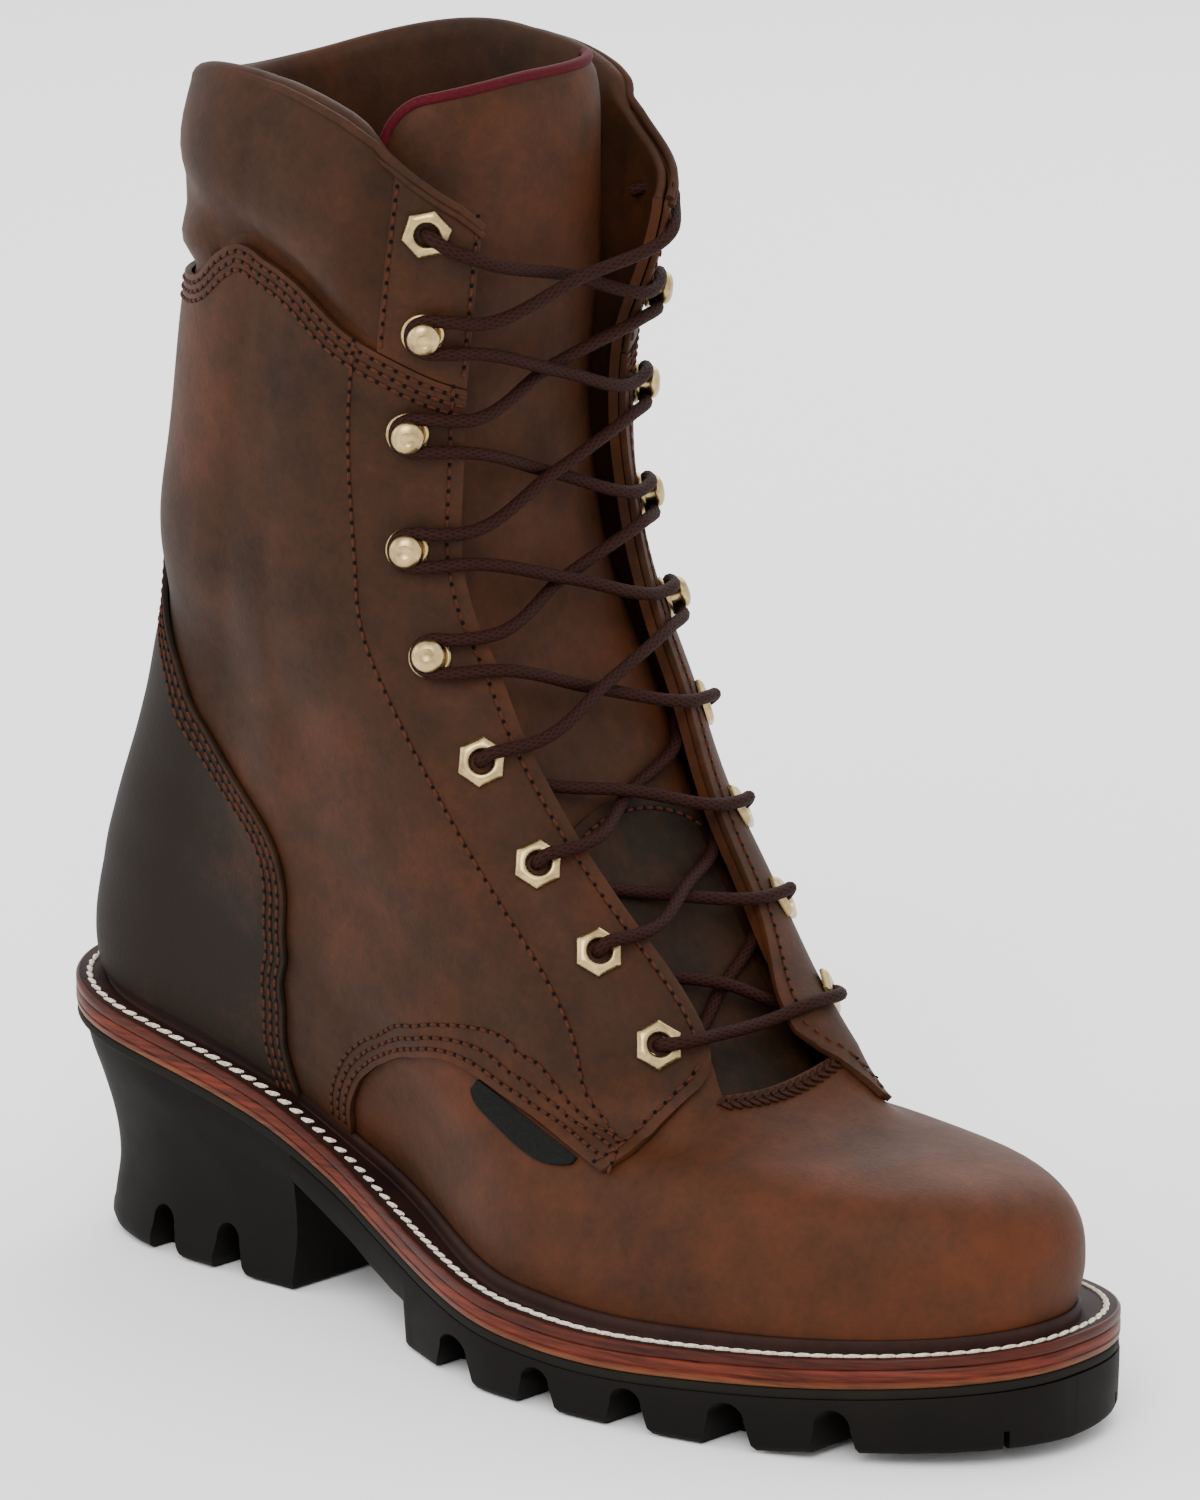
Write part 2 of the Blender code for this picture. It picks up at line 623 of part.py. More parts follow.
def make_quarter(model, form, name, sign):
    """Outer quarter with its eyestay flap and its pointed wing over the vamp."""
    columns = COLUMNS[:-1] + [BACK_SEAM]
    grid = np.zeros((QUARTER_LOW_ROWS + 1 + len(SHAFT_SHARES), len(columns), 3))
    for j, column in enumerate(columns):
        turn = turn_of(column, 0, sign)
        above_welt = form.level_over_welt(STORM_HEIGHT + 2 * GAP, turn)
        low = max(float(read_line(QUARTER_EDGE, column)), above_welt)
        high = float(read_line(COLLAR_SEAM, column)) - .004
        base = max(THROAT_BASE, low + QUARTER_CORNER)
        levels = list(np.linspace(low, base, QUARTER_LOW_ROWS + 1))
        levels += [base + (high - base) * share for share in SHAFT_SHARES]
        for i, level in enumerate(levels):
            turn = turn_of(column, level, sign)
            grid[i, j] = form.at(level, turn, QUARTER_LIFT + corner_bridge(level, turn))
    return patch(model, name, grid, "leather", QUARTER_THICKNESS)


def make_counter(model, form):
    """Heel counter and its narrow backstay, over both quarters."""
    rows = []
    across = np.array([-share for share in COUNTER_COLUMNS[:0:-1]] + COUNTER_COLUMNS)

    def row_at(levels):
        edge = read_edge(COUNTER_EDGE, levels)
        turn = np.sign(across) * (1 - (1 - edge) * np.abs(across))
        turn = np.where(across == 0, 1, turn)
        bridge = ANKLE_BRIDGE * ease(1.5 - abs(levels - .62) / .12)
        return form.at(levels, turn, COUNTER_LIFT + bridge)

    turns = [(1 - (1 - .705) * abs(share)) * (1 if share > 0 else -1) for share in across]
    foot = np.array([form.level_over_welt(STORM_HEIGHT + 2 * GAP, turn) for turn in turns])
    rows.append(row_at(foot))
    for level in COUNTER_LEVELS:
        rows.append(row_at(np.full(len(across), level)))
    rows.append(row_at(np.full(len(across), float(read_line(COLLAR_SEAM, 1)) - .004)))
    return patch(model, "counter", np.array(rows), "leather", COUNTER_THICKNESS)


def make_facing(model, form, name, sign):
    """Facing strip at the top of the eyestay, above the collar's seam."""
    grid = np.zeros((FACING_ROWS + 1, len(FACING_COLUMNS), 3))
    for j, column in enumerate(FACING_COLUMNS):
        low = float(read_line(COLLAR_SEAM, column)) + .002
        for i in range(FACING_ROWS + 1):
            level = low + (FACING_TOP - low) * i / FACING_ROWS
            grid[i, j] = form.at(level, turn_of(column, level, sign), QUARTER_LIFT)
    return patch(model, name, grid, "leather", FACING_THICKNESS)


def make_tab(model, form):
    """Bare fabric tab on the vamp under the lateral wing."""
    across = np.linspace(0, 1, 4)
    grid = [form.at(np.full(4, row.level), -(row.front + (row.rear - row.front) * across), GAP)
            for row in TAB_ROWS]
    return patch(model, "side_tab", np.array(grid), "tab", TAB_THICKNESS)


def tongue_point(form, row, across, lift):
    """Point of the tongue's outer face in one of its rows."""
    return form.at(row.level, row.half_turn * across, lift - row.depth)


def make_tongue(model, form):
    """Padded tongue that lies under both flaps and stands over the collar."""
    across = np.linspace(-1, 1, TONGUE_COLUMNS + 1)
    edge = np.sqrt(np.maximum(1 - np.abs(across) ** 4, 0)) * .75 + .25
    outer, inner = [], []
    for row in TONGUE_ROWS:
        thickness = (TONGUE_THICKNESS + row.pad * TONGUE_PAD) * edge
        outer.append(np.array([tongue_point(form, row, a, 0) for a in across]))
        inner.append(np.array([tongue_point(form, row, a, -t) for a, t in zip(across, thickness)]))
    last_outer, last_inner = outer[-1], inner[-1]
    for share in TONGUE_TOP_ROWS:
        squeeze = .5 * ease((share - .68) / .32)
        middle = (last_outer + last_inner) / 2
        for rows, last in ((outer, last_outer), (inner, last_inner)):
            place = last + (middle - last) * squeeze
            place[:, 2] = last[:, 2] + (TONGUE_TOP - last[:, 2]) * share
            rows.append(place)
    rows, columns = len(outer), len(across)
    points = np.concatenate([np.concatenate(outer), np.concatenate(inner)])
    count = rows * columns
    faces = grid_faces(rows, columns)
    faces += [tuple(count + k for k in face) for face in grid_faces(rows, columns)]
    border = [j for j in range(columns)]
    border += [i * columns + columns - 1 for i in range(1, rows)]
    border += [(rows - 1) * columns + j for j in range(columns - 2, -1, -1)]
    border += [i * columns for i in range(rows - 2, -1, -1)]
    faces += [(a, b, count + b, count + a) for a, b in zip(border[:-1], border[1:])]
    return model.add("tongue", mesh_from("tongue", points, faces), "leather")


def make_tongue_patch(model, form):
    """Patch sewn on the tongue's lower part, between the flaps."""
    levels = [row.level for row in TONGUE_ROWS]
    grid = []
    for level in PATCH_LEVELS:
        depth = float(np.interp(level, levels, [row.depth for row in TONGUE_ROWS]))
        edge = read_edge(THROAT_EDGE, level) - .012
        turns = np.linspace(-edge, edge, 6)
        grid.append(form.at(np.full(6, level), turns, 2 * GAP - depth))
    return patch(model, "tongue_patch", np.array(grid), "dark_leather", PATCH_THICKNESS)


def make_insole(model, form):
    """Insole that closes the upper underneath, inside its wall."""
    turns = [turn_of(c, 0, -1) for c in COLUMNS[::-2]]
    turns += [read_edge(THROAT_EDGE, 0) * share for share in FRONT_COLUMNS[1:2]]
    turns += [turn_of(c, 0, 1) for c in COLUMNS[:-1:2]]
    bottom, top = [], []
    for turn in turns:
        foot = form.at(0, turn, -WALL - 1.5 * GAP)
        wall = form.at(LOW_LEVELS[2], turn, -WALL - 1.5 * GAP)
        rise = wall[2] - welt_top(wall[0])
        low = foot + (wall - foot) * INSOLE_SEAT / rise
        high = foot + (wall - foot) * (INSOLE_SEAT + INSOLE_THICKNESS) / rise
        bottom.append(low)
        top.append(high)
    return model.add("insole", ring_slab("insole", np.array(bottom), np.array(top)), "lining")


def ring_slab(name, bottom, top):
    """A slab between two loops that start at the back's middle, closed by cross strips."""
    count = len(bottom)
    points = np.concatenate([bottom, top])
    faces = [(k, (k + 1) % count, count + (k + 1) % count, count + k) for k in range(count)]
    for k in range(count // 2):
        for base in (0, count):
            strip = [base + k % count, base + (k + 1) % count,
                     base + (count - k - 1) % count, base + (count - k) % count]
            strip = list(dict.fromkeys(strip))
            if len(strip) > 2:
                faces.append(strip)
    return mesh_from(name, points, faces)


def sole_outline(turns):
    """Sole's outline at turns, as x and y."""
    share = (1 + np.cos(np.linspace(0, math.pi, 241))) / 2
    places = []
    for turn in turns:
        side = SOLE_LATERAL if turn < 0 else SOLE_MEDIAL
        sign = -1 if turn < 0 else 1
        half = np.column_stack([SOLE_LENGTH * share, sign * BALL_WIDTH * half_width(share, side)])
        places.append(arc_share(half, [abs(turn)])[0])
    return np.array(places)


def make_welt(model, form):
    """Leather welt round the sole with a raised storm lip against the upper."""
    turns = [turn for turn, level in upper_turns(lambda c: 0)]
    outline = sole_outline(turns)
    loops = []
    for turn, (x, y) in zip(turns, outline):
        level = form.level_over_welt(STORM_HEIGHT, turn)
        foot = form.at(0, turn)
        out = form.normal(.03, turn) * np.array([1, 1, 0])
        out = out / np.linalg.norm(out)
        lip_foot = foot + out * (GAP + STORM_THICKNESS)
        inside = foot + out * GAP
        inner = foot - out * WELT_INSIDE
        lip_inside = form.at(level, turn, GAP)
        lip_outside = form.at(level, turn, GAP + .65 * STORM_THICKNESS)
        lip_outside[2] = lip_inside[2]
        for place in (lip_foot, inside, inner):
            place[2] = welt_top(place[0])
        top = float(welt_top(x))
        inner_low = inner - np.array([0, 0, WELT_THICKNESS])
        loops.append([(x, y, top - WELT_THICKNESS), (x, y, top), lip_foot, lip_outside,
                      lip_inside, inside, inner, inner_low])
    count, ring = len(loops), len(loops[0])
    points = [place for loop in loops for place in loop]
    faces = []
    for j in range(count):
        k = (j + 1) % count
        for i in range(ring):
            n = (i + 1) % ring
            faces.append((j * ring + i, k * ring + i, k * ring + n, j * ring + n))
    return model.add("welt", mesh_from("welt", points, faces), "dark_leather")


def sole_stations(start=0.0, extra=()):
    """Stations along the sole from start to the toe, closer near the round ends."""
    shares = (1 - np.cos(np.linspace(0, math.pi, 37))) / 2
    stations = [s for s in shares if start + .01 < s < 1 and all(abs(s - e) > .008 for e in extra)]
    return sorted([start] + stations + list(extra) + [1.0])


def station_slab(name, shares, top, bottom):
    """A slab of the sole's outline; top and bottom give heights at x."""
    points, rows = [], []
    for share in shares:
        x = share * SOLE_LENGTH
        sides = [-BALL_WIDTH * float(half_width(share, SOLE_LATERAL)),
                 BALL_WIDTH * float(half_width(share, SOLE_MEDIAL))]
        if sides[1] - sides[0] < .001:
            sides = [0]
        row = []
        for y in sides:
            row.append((len(points), len(points) + 1))
            points.append((x, y, top(x)))
            points.append((x, y, bottom(x)))
        rows.append(row)
    faces = []
    for a, b in zip(rows[:-1], rows[1:]):
        for side in (0, 1):
            strip = [a[0][side], a[-1][side], b[-1][side], b[0][side]]
            faces.append(list(dict.fromkeys(strip)))
        for edge in (0, -1):
            faces.append(list(dict.fromkeys([a[edge][0], a[edge][1], b[edge][1], b[edge][0]])))
    for row in (rows[0], rows[-1]):
        if len(row) == 2:
            faces.append([row[0][0], row[0][1], row[1][1], row[1][0]])
    return mesh_from(name, points, faces)


def layer(depth):
    """Height at x that lies a depth under the welt's top."""
    return lambda x: float(welt_top(x)) - depth


def make_layers(model):
    """Midsole and slip sole, full length."""
    under_welt = WELT_THICKNESS
    under_midsole = under_welt + MIDSOLE_THICKNESS
    under_slip = under_midsole + SLIP_THICKNESS
    shares = sole_stations()
    midsole = station_slab("midsole", shares, layer(under_welt + GAP), layer(under_midsole))
    slip = station_slab("slip_sole", shares, layer(under_midsole + GAP), layer(under_slip))
    model.add("midsole", midsole, "midsole")
    model.add("slip_sole", slip, "slip")
    return under_slip


def make_outsole(model, under_slip):
    """Lugged forefoot: a sheet from the heel's breast to the toe, with slots at both edges."""
    start = (HEEL_LENGTH + GAP) / SOLE_LENGTH
    places = [start] + [row[0] for row in UNDERSIDE[1:]]
    heights = [row[1] * OUTSOLE_DEPTH for row in UNDERSIDE]

    def ground(x):
        return float(np.interp(x / SOLE_LENGTH, places, heights))

    shares = sole_stations(start, places[1:-1])
    mesh = station_slab("outsole", shares, layer(under_slip + GAP), ground)
    outsole = model.add("outsole", mesh, "rubber")
    for slot in LUG_SLOTS:
        cut_slot(model, outsole, slot, slot.height * OUTSOLE_DEPTH, SLOT_DEPTH)
    return outsole


def slot_profile(slot, height):
    """Trapezoid slot with a narrower, eased top."""
    rear, front = slot.rear * SOLE_LENGTH, slot.front * SOLE_LENGTH
    width = front - rear
    return [(rear, -.004), (front, -.004), (front, .0), (front - .26 * width, .85 * height),
            (front - .38 * width, height), (rear + .38 * width, height),
            (rear + .26 * width, .85 * height), (rear, 0)]


def cut_slot(model, obj, slot, height, depth):
    """The same slot cut into the lateral and the medial edge."""
    middle = (slot.rear + slot.front) / 2
    for sign, side in ((-1, SOLE_LATERAL), (1, SOLE_MEDIAL)):
        edge = sign * BALL_WIDTH * float(half_width(middle, side))
        inside = edge - sign * depth
        outside = edge + sign * BALL_WIDTH * .2
        model.cut(obj, prism(slot_profile(slot, height), inside, outside))


def make_heel(model, under_slip):
    """Stacked heel block with a hollowed back and side slots."""
    turns = np.concatenate([np.linspace(1, 0, HEEL_STEPS), np.linspace(0, 1, HEEL_STEPS)[1:]])
    rows = []
    for row in HEEL_ROWS:
        front = HEEL_LENGTH - BREAST_SLOPE * (1 - row.height)
        back = row.back
        half = []
        for k, turn in enumerate(turns):
            share = 1 - math.cos(turn * math.pi / 2)
            lateral = k < HEEL_STEPS
            side = SOLE_LATERAL if lateral else SOLE_MEDIAL
            width = side.heel * BALL_WIDTH - row.side
            bulge = max(1 - (1 - min(share / HEEL_CURVE, 1)) ** HEEL_ROUND, 0) ** (1 / HEEL_ROUND)
            x = back + (front - back) * share
            y = width * bulge * (-1 if lateral else 1)
            top = float(welt_top(x)) - under_slip - GAP
            half.append((x, y, row.height * top))
        rows.append(half)
    columns = len(turns)
    points = [place for row in rows for place in row]
    faces = grid_faces(len(rows), columns)
    for i in range(len(rows) - 1):
        faces.append((i * columns, (i + 1) * columns, (i + 2) * columns - 1, (i + 1) * columns - 1))
    for base in (0, (len(rows) - 1) * columns):
        for k in range(HEEL_STEPS - 1):
            strip = [base + k, base + k + 1, base + columns - 2 - k, base + columns - 1 - k]
            faces.append(list(dict.fromkeys(strip)))
    heel = model.add("heel", mesh_from("heel", points, faces), "rubber")
    for slot in HEEL_SLOTS:
        cut_slot(model, heel, slot, HEEL_SLOT_HEIGHT, HEEL_SLOT_DEPTH)
    return heel


def eyelet_mesh(model):
    """Six-sided washer with a round hole."""
    bm = bmesh.new()
    bmesh.ops.create_cone(bm, cap_ends=True, segments=6, radius1=EYELET_RADIUS,
                          radius2=EYELET_RADIUS, depth=EYELET_HEIGHT)
    plate = bpy.data.meshes.new("eyelet")
    bm.to_mesh(plate)
    bm.free()
    bm = bmesh.new()
    bmesh.ops.create_cone(bm, cap_ends=True, segments=10, radius1=EYELET_HOLE,
                          radius2=EYELET_HOLE, depth=3 * EYELET_HEIGHT)
    hole = bpy.data.meshes.new("eyelet_hole")
    bm.to_mesh(hole)
    bm.free()
    blank = bpy.data.objects.new("eyelet_blank", plate)
    bpy.context.scene.collection.objects.link(blank)
    model.cut(blank, hole)
    bpy.context.view_layer.update()
    graph = bpy.context.evaluated_depsgraph_get()
    mesh = bpy.data.meshes.new_from_object(blank.evaluated_get(graph))
    bpy.data.objects.remove(blank)
    for vertex in mesh.vertices:
        vertex.co.z += EYELET_HEIGHT / 2
    return mesh


def hook_mesh():
    """Lacing hook: a base, a neck and a lip that opens away from the throat."""
    profile = [(a * HOOK_LENGTH, h * HOOK_HEIGHT) for a, h in HOOK_PROFILE]
    return prism(profile, -HOOK_WIDTH / 2, HOOK_WIDTH / 2)


def make_studs(model, form):
    """Eyelets and hooks on both flaps, each square to the leather under it."""
    meshes = {"eyelet": eyelet_mesh(model), "hook": hook_mesh()}
    for stud in STUDS:
        for sign, side in ((-1, "lateral"), (1, "medial")):
            turn = sign * stud.turn
            normal = Vector(form.normal(stud.level, turn))
            up = Vector(form.at(stud.level + .01, turn) - form.at(stud.level - .01, turn))
            away = up.cross(normal) * sign
            away.normalize()
            if (Vector(form.at(stud.level, turn + sign * .02))
                    - Vector(form.at(stud.level, turn))).dot(away) < 0:
                away.negate()
            along = normal.cross(away)
            rotation = Matrix((away, along, normal)).transposed().to_4x4()
            name = f"{stud.kind}_{stud.number}_{side}"
            obj = model.add(name, meshes[stud.kind], "brass")
            lift = METAL_LIFT + float(corner_bridge(stud.level, turn))
            place = Matrix.Translation(Vector(form.at(stud.level, turn, lift)))
            obj.matrix_world = place @ rotation


def strand(form, low, high, sign, dives):
    """One lace run from beside the low stud on one side to beside the high stud on the other."""
    over_leather = METAL_LIFT + GAP + LACE_RADIUS
    low_level, high_level = low.level + STRAND_SPREAD, high.level - STRAND_SPREAD
    edge_low = float(read_edge(THROAT_EDGE, low_level))
    edge_high = float(read_edge(THROAT_EDGE, high_level))
    start_turn = edge_low + STRAND_START * (low.turn - edge_low)
    end_turn = edge_high + STRAND_START * (high.turn - edge_high)
    start = form.at(low_level, sign * start_turn, over_leather)
    over = form.at(low_level, sign * edge_low, over_leather)
    if dives:
        under = form.at(high_level, -sign * edge_high * .80, -.0002)
        path = [start, over, (over + under) / 2, under]
    else:
        across = form.at(high_level, -sign * edge_high, over_leather)
        end = form.at(high_level, -sign * end_turn, over_leather)
        path = [start, over, across, end]
    return arc_smooth(np.array(path), 9)


def arc_smooth(points, count):
    """Smooth path through points, read at even shares of its length."""
    run = np.concatenate([[0], np.cumsum(np.linalg.norm(np.diff(points, axis=0), axis=1))])
    return smooth(run / run[-1], points, np.linspace(0, 1, count))


def make_lace(model, form):
    """The bottom bar and one crossing between each pair of studs."""
    bottom = STUDS[-1]
    lift = METAL_LIFT + CORNER_BRIDGE + LACE_RADIUS
    edge = float(read_edge(THROAT_EDGE, bottom.level))
    end = edge + STRAND_START * (bottom.turn - edge)
    bar = form.at(np.full(5, bottom.level), np.array([-end, -edge, 0, edge, end]), np.full(5, lift))
    model.add("lace_bar", tube(arc_smooth(bar, 9), LACE_RADIUS), "lace")
    for high, low in zip(STUDS[:-2], STUDS[1:-1]):
        dives = low.kind == "eyelet" and high.kind == "eyelet"
        name = f"lace_crossing_{high.number}"
        obj = model.add(name, tube(strand(form, low, high, -1, dives), LACE_RADIUS), "lace")
        other = tube(strand(form, low, high, 1, dives), LACE_RADIUS)
        cutter = model.cut(obj, other)
        obj.modifiers["cut"].operation = "UNION"
        cutter.name = name + "_other_strand"


def main():
    """Build the boot."""
    for obj in list(bpy.data.objects):
        bpy.data.objects.remove(obj)
    model = Model()
    form = Form()
    make_upper(model, form)
    make_quarter(model, form, "quarter_lateral", -1)
    make_quarter(model, form, "quarter_medial", 1)
    make_counter(model, form)
    make_facing(model, form, "facing_lateral", -1)
    make_facing(model, form, "facing_medial", 1)
    make_tab(model, form)
    make_tongue(model, form)
    make_tongue_patch(model, form)
    make_insole(model, form)
    make_welt(model, form)
    under_slip = make_layers(model)
    make_outsole(model, under_slip)
    make_heel(model, under_slip)
    make_studs(model, form)
    make_lace(model, form)
    model.seat()


main()
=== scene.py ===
"""Looks of a right logger boot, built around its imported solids.

Metres, +Z up, +X toward the toe, -Y the lateral side. A place on the upper is a level, 0 at the
feather and 1 at the collar's top, and a turn, 0 at the front's middle and 1 at the back's middle,
negative on the lateral side.
"""
import math
from collections import namedtuple

import bmesh
import bpy
import numpy as np
from bpy.props import FloatProperty, FloatVectorProperty, PointerProperty
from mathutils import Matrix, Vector, kdtree


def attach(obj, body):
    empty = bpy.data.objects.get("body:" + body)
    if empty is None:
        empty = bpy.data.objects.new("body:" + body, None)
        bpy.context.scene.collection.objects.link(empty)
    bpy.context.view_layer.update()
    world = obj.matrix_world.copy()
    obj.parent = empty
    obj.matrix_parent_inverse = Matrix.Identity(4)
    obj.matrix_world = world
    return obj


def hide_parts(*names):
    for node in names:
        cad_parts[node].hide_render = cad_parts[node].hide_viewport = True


bl_info = {
    "name": "Logger Boot",
    "version": (1, 0, 0),
    "blender": (4, 5, 0),
    "location": "View3D > Sidebar > Boot",
    "description": "Builds the leather, rubber, brass and lace of a right logger boot",
    "category": "Object",
}

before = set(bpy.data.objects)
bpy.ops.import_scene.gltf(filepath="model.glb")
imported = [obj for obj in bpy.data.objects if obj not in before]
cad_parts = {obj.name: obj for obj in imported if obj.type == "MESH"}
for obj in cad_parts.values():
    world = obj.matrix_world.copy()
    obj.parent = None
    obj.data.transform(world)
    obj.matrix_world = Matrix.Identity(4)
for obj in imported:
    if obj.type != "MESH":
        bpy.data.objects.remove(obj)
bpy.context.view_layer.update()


def table(kind, *rows):
    """Rows of a table under one set of names."""
    return [kind(*row) for row in rows]


# Driving sizes, the same as the solids'
SOLE_LENGTH = 0.306
BALL_WIDTH = 0.1104
HEEL_RISE = 0.0455
TOE_SPRING = 0.0069
FOREFOOT_HEIGHT = 0.0214
UPPER_RISE = 0.226
HEEL_SEAT = 0.050
HEEL_LENGTH = 0.092
WELT_THICKNESS = 0.0025
MIDSOLE_THICKNESS = 0.0047
SLIP_THICKNESS = 0.0025
OUTSOLE_DEPTH = 0.0117
WALL = 0.0024
QUARTER_THICKNESS = 0.0016
COUNTER_THICKNESS = 0.0014
COLLAR_INSIDE = 0.0058
TONGUE_TOP = 0.300
SEAT = 0.0003
QUARTER_TOP = SEAT + QUARTER_THICKNESS
COUNTER_TOP = QUARTER_TOP + SEAT + COUNTER_THICKNESS
HAIR = 0.00012
DOUBLED = 2e-5
# Between layers of the sole, under the ground for cutters, and below the collar's seam
LAYER_GAP = 0.0001
BELOW_GROUND = 0.004
QUARTER_DROP = 0.004

Profile = namedtuple("Profile", "along rise spring")
SOLE_PROFILE = table(
    Profile,
    (0.00, 1.000, 0.00), (0.13, 0.851, 0.00), (0.27, 0.618, 0.00), (0.40, 0.248, 0.00),
    (0.52, 0.099, 0.00), (0.66, 0.000, 0.00), (0.80, 0.000, 0.26), (1.00, 0.000, 1.00),
)
Side = namedtuple("Side", "heel_at waist_at ball_at heel waist ball back_round front_round")
SOLE_LATERAL = Side(0.125, 0.339, 0.598, 0.362, 0.337, 0.540, 2.11, 1.99)
SOLE_MEDIAL = Side(0.135, 0.420, 0.719, 0.349, 0.281, 0.460, 2.20, 2.57)
Ring = namedtuple("Ring", "name level back_x back_rise front_x front_rise bend crown "
                  "heel_at waist_at ball_at lateral_heel lateral_waist lateral_ball "
                  "medial_heel medial_waist medial_ball back_round front_round")
RINGS = table(
    Ring,
    ("feather", 0.00, .031, .0015, .977, .0015, 1, 0,
     .12, .36, .60, .272, .240, .462, .263, .217, .389, 2.2, 2.25),
    ("wall", 0.07, .026, .037, .989, .062, 1, 0,
     .12, .36, .60, .285, .281, .480, .281, .254, .408, 2.2, 2.25),
    ("toe", 0.14, .025, .067, .979, .116, .95, 0,
     .13, .37, .61, .290, .303, .471, .290, .281, .399, 2.2, 2.25),
    ("cap", 0.21, .028, .097, .940, .154, .86, 0,
     .14, .38, .61, .290, .317, .448, .290, .299, .364, 2.2, 2.25),
    ("vamp", 0.27, .033, .124, .879, .171, .76, 0,
     .15, .39, .61, .290, .326, .417, .290, .308, .326, 2.2, 2.20),
    ("ball", 0.33, .039, .157, .807, .180, .66, 0,
     .16, .40, .61, .290, .326, .389, .290, .317, .313, 2.2, 2.20),
    ("base", 0.39, .049, .194, .729, .214, .56, 0,
     .17, .41, .64, .290, .335, .380, .290, .326, .328, 2.2, 2.60),
    ("throat", 0.45, .064, .242, .680, .282, .42, 0,
     .18, .42, .70, .299, .344, .380, .299, .335, .353, 2.2, 3.40),
    ("instep", 0.51, .082, .301, .627, .368, .30, 0,
     .20, .43, .70, .308, .353, .385, .308, .349, .371, 2.2, 3.60),
    ("lock", 0.57, .098, .367, .575, .453, .20, 0,
     .24, .45, .68, .317, .371, .399, .317, .367, .389, 2.2, 3.40),
    ("ankle", 0.64, .109, .445, .533, .552, .10, 0,
     .30, .47, .66, .344, .389, .408, .344, .389, .408, 2.1, 3.20),
    ("shin", 0.71, .114, .531, .497, .655, .04, 0,
     .38, .50, .62, .392, .408, .417, .392, .408, .417, 2.0, 2.80),
    ("calf", 0.79, .123, .639, .480, .754, 0, 0,
     .42, .52, .60, .411, .417, .421, .411, .417, .421, 2.0, 2.60),
    ("knee", 0.87, .136, .762, .474, .868, 0, 0,
     .45, .52, .60, .417, .421, .426, .417, .421, .426, 2.0, 2.60),
    ("seam", 0.94, .150, .890, .487, .990, 0, .018,
     .45, .52, .60, .412, .417, .421, .412, .417, .421, 2.0, 2.60),
    ("top", 1.00, .157, 1.034, .493, 1.088, 0, .084,
     .45, .52, .60, .404, .408, .412, .395, .399, .403, 2.0, 2.60),
)

# Panel lines: a turn, or a column from the throat's edge at 0 to the back's middle at 1
Point = namedtuple("Point", "turn level")
THROAT_BASE = .40
THROAT_EDGE = table(
    Point,
    (.080, .400), (.073, .430), (.070, .463), (.100, .532), (.127, .588), (.153, .647),
    (.160, .680), (.173, .713), (.180, .760), (.170, .840), (.170, .890), (.173, .932),
    (.163, 1.00),
)
COLLAR_SEAM = table(
    Point,
    (0, .890), (.045, .895), (.13, .907), (.21, .917), (.33, .935), (.42, .941), (.49, .944),
    (.55, .937), (.61, .924), (.72, .917), (1, .915),
)
# How far the facing's top and the collar's front fall below the form's top, by column
TOP_DROP = table(
    Point,
    (0, .0190), (.010, .0165), (.044, .0115), (.104, .0075), (.164, .004), (.26, .003),
    (.45, .0062), (1, .0066),
)
WING_FRONT = table(
    Point,
    (0, .442), (.004, .430), (.012, .417), (.024, .406), (.062, .380), (.102, .353),
    (.152, .316), (.201, .272), (.252, .230),
)
MEDIAL_FRONT = table(
    Point,
    (-.046, .430), (-.041, .410), (-.030, .375), (-.018, .347), (.010, .334), (.050, .328),
    (.115, .318), (.252, .230),
)
WING_ARCH = table(
    Point,
    (.252, .230), (.266, .262), (.279, .294), (.291, .324), (.308, .345), (.335, .354),
    (.371, .347), (.408, .329), (.445, .307), (.503, .264), (.556, .212), (.585, .168),
    (.603, .122), (.614, .080), (.624, .0),
)
COUNTER_EDGE = table(
    Point,
    (.705, 0), (.703, .12), (.673, .255), (.607, .393), (.600, .468), (.610, .505), (.650, .527),
    (.707, .547), (.740, .585), (.767, .63), (.84, .672), (.905, .71), (.93, .76), (.93, .94),
)
EYESTAY_SEAM = table(
    Point,
    (.300, .236), (.232, .345), (.207, .473), (.237, .532), (.263, .578), (.303, .640),
    (.327, .690), (.327, .758), (.332, .84), (.337, .908),
)
FACING_REAR = .16

TongueRow = namedtuple("TongueRow", "level half_turn depth pad")
TONGUE_ROWS = table(
    TongueRow,
    (.355, .13, .0036, 0), (.40, .15, .0046, 0), (.45, .18, .0062, .1), (.51, .21, .0066, .3),
    (.57, .225, .0068, .5), (.64, .24, .0066, .7), (.71, .265, .0074, .9), (.79, .285, .0080, 1),
    (.87, .315, .0084, 1), (.94, .335, .0088, 1),
)
TONGUE_THICKNESS = 0.0026
PATCH_THICKNESS = 0.0011

Stud = namedtuple("Stud", "number kind turn level")
STUDS = table(
    Stud,
    (1, "eyelet", .247, .972), (2, "hook", .243, .920), (3, "hook", .250, .858),
    (4, "hook", .253, .770), (5, "hook", .243, .688), (6, "eyelet", .210, .623),
    (7, "eyelet", .177, .557), (8, "eyelet", .147, .503), (9, "eyelet", .123, .443),
)
SIDES = ((-1, "lateral"), (1, "medial"))

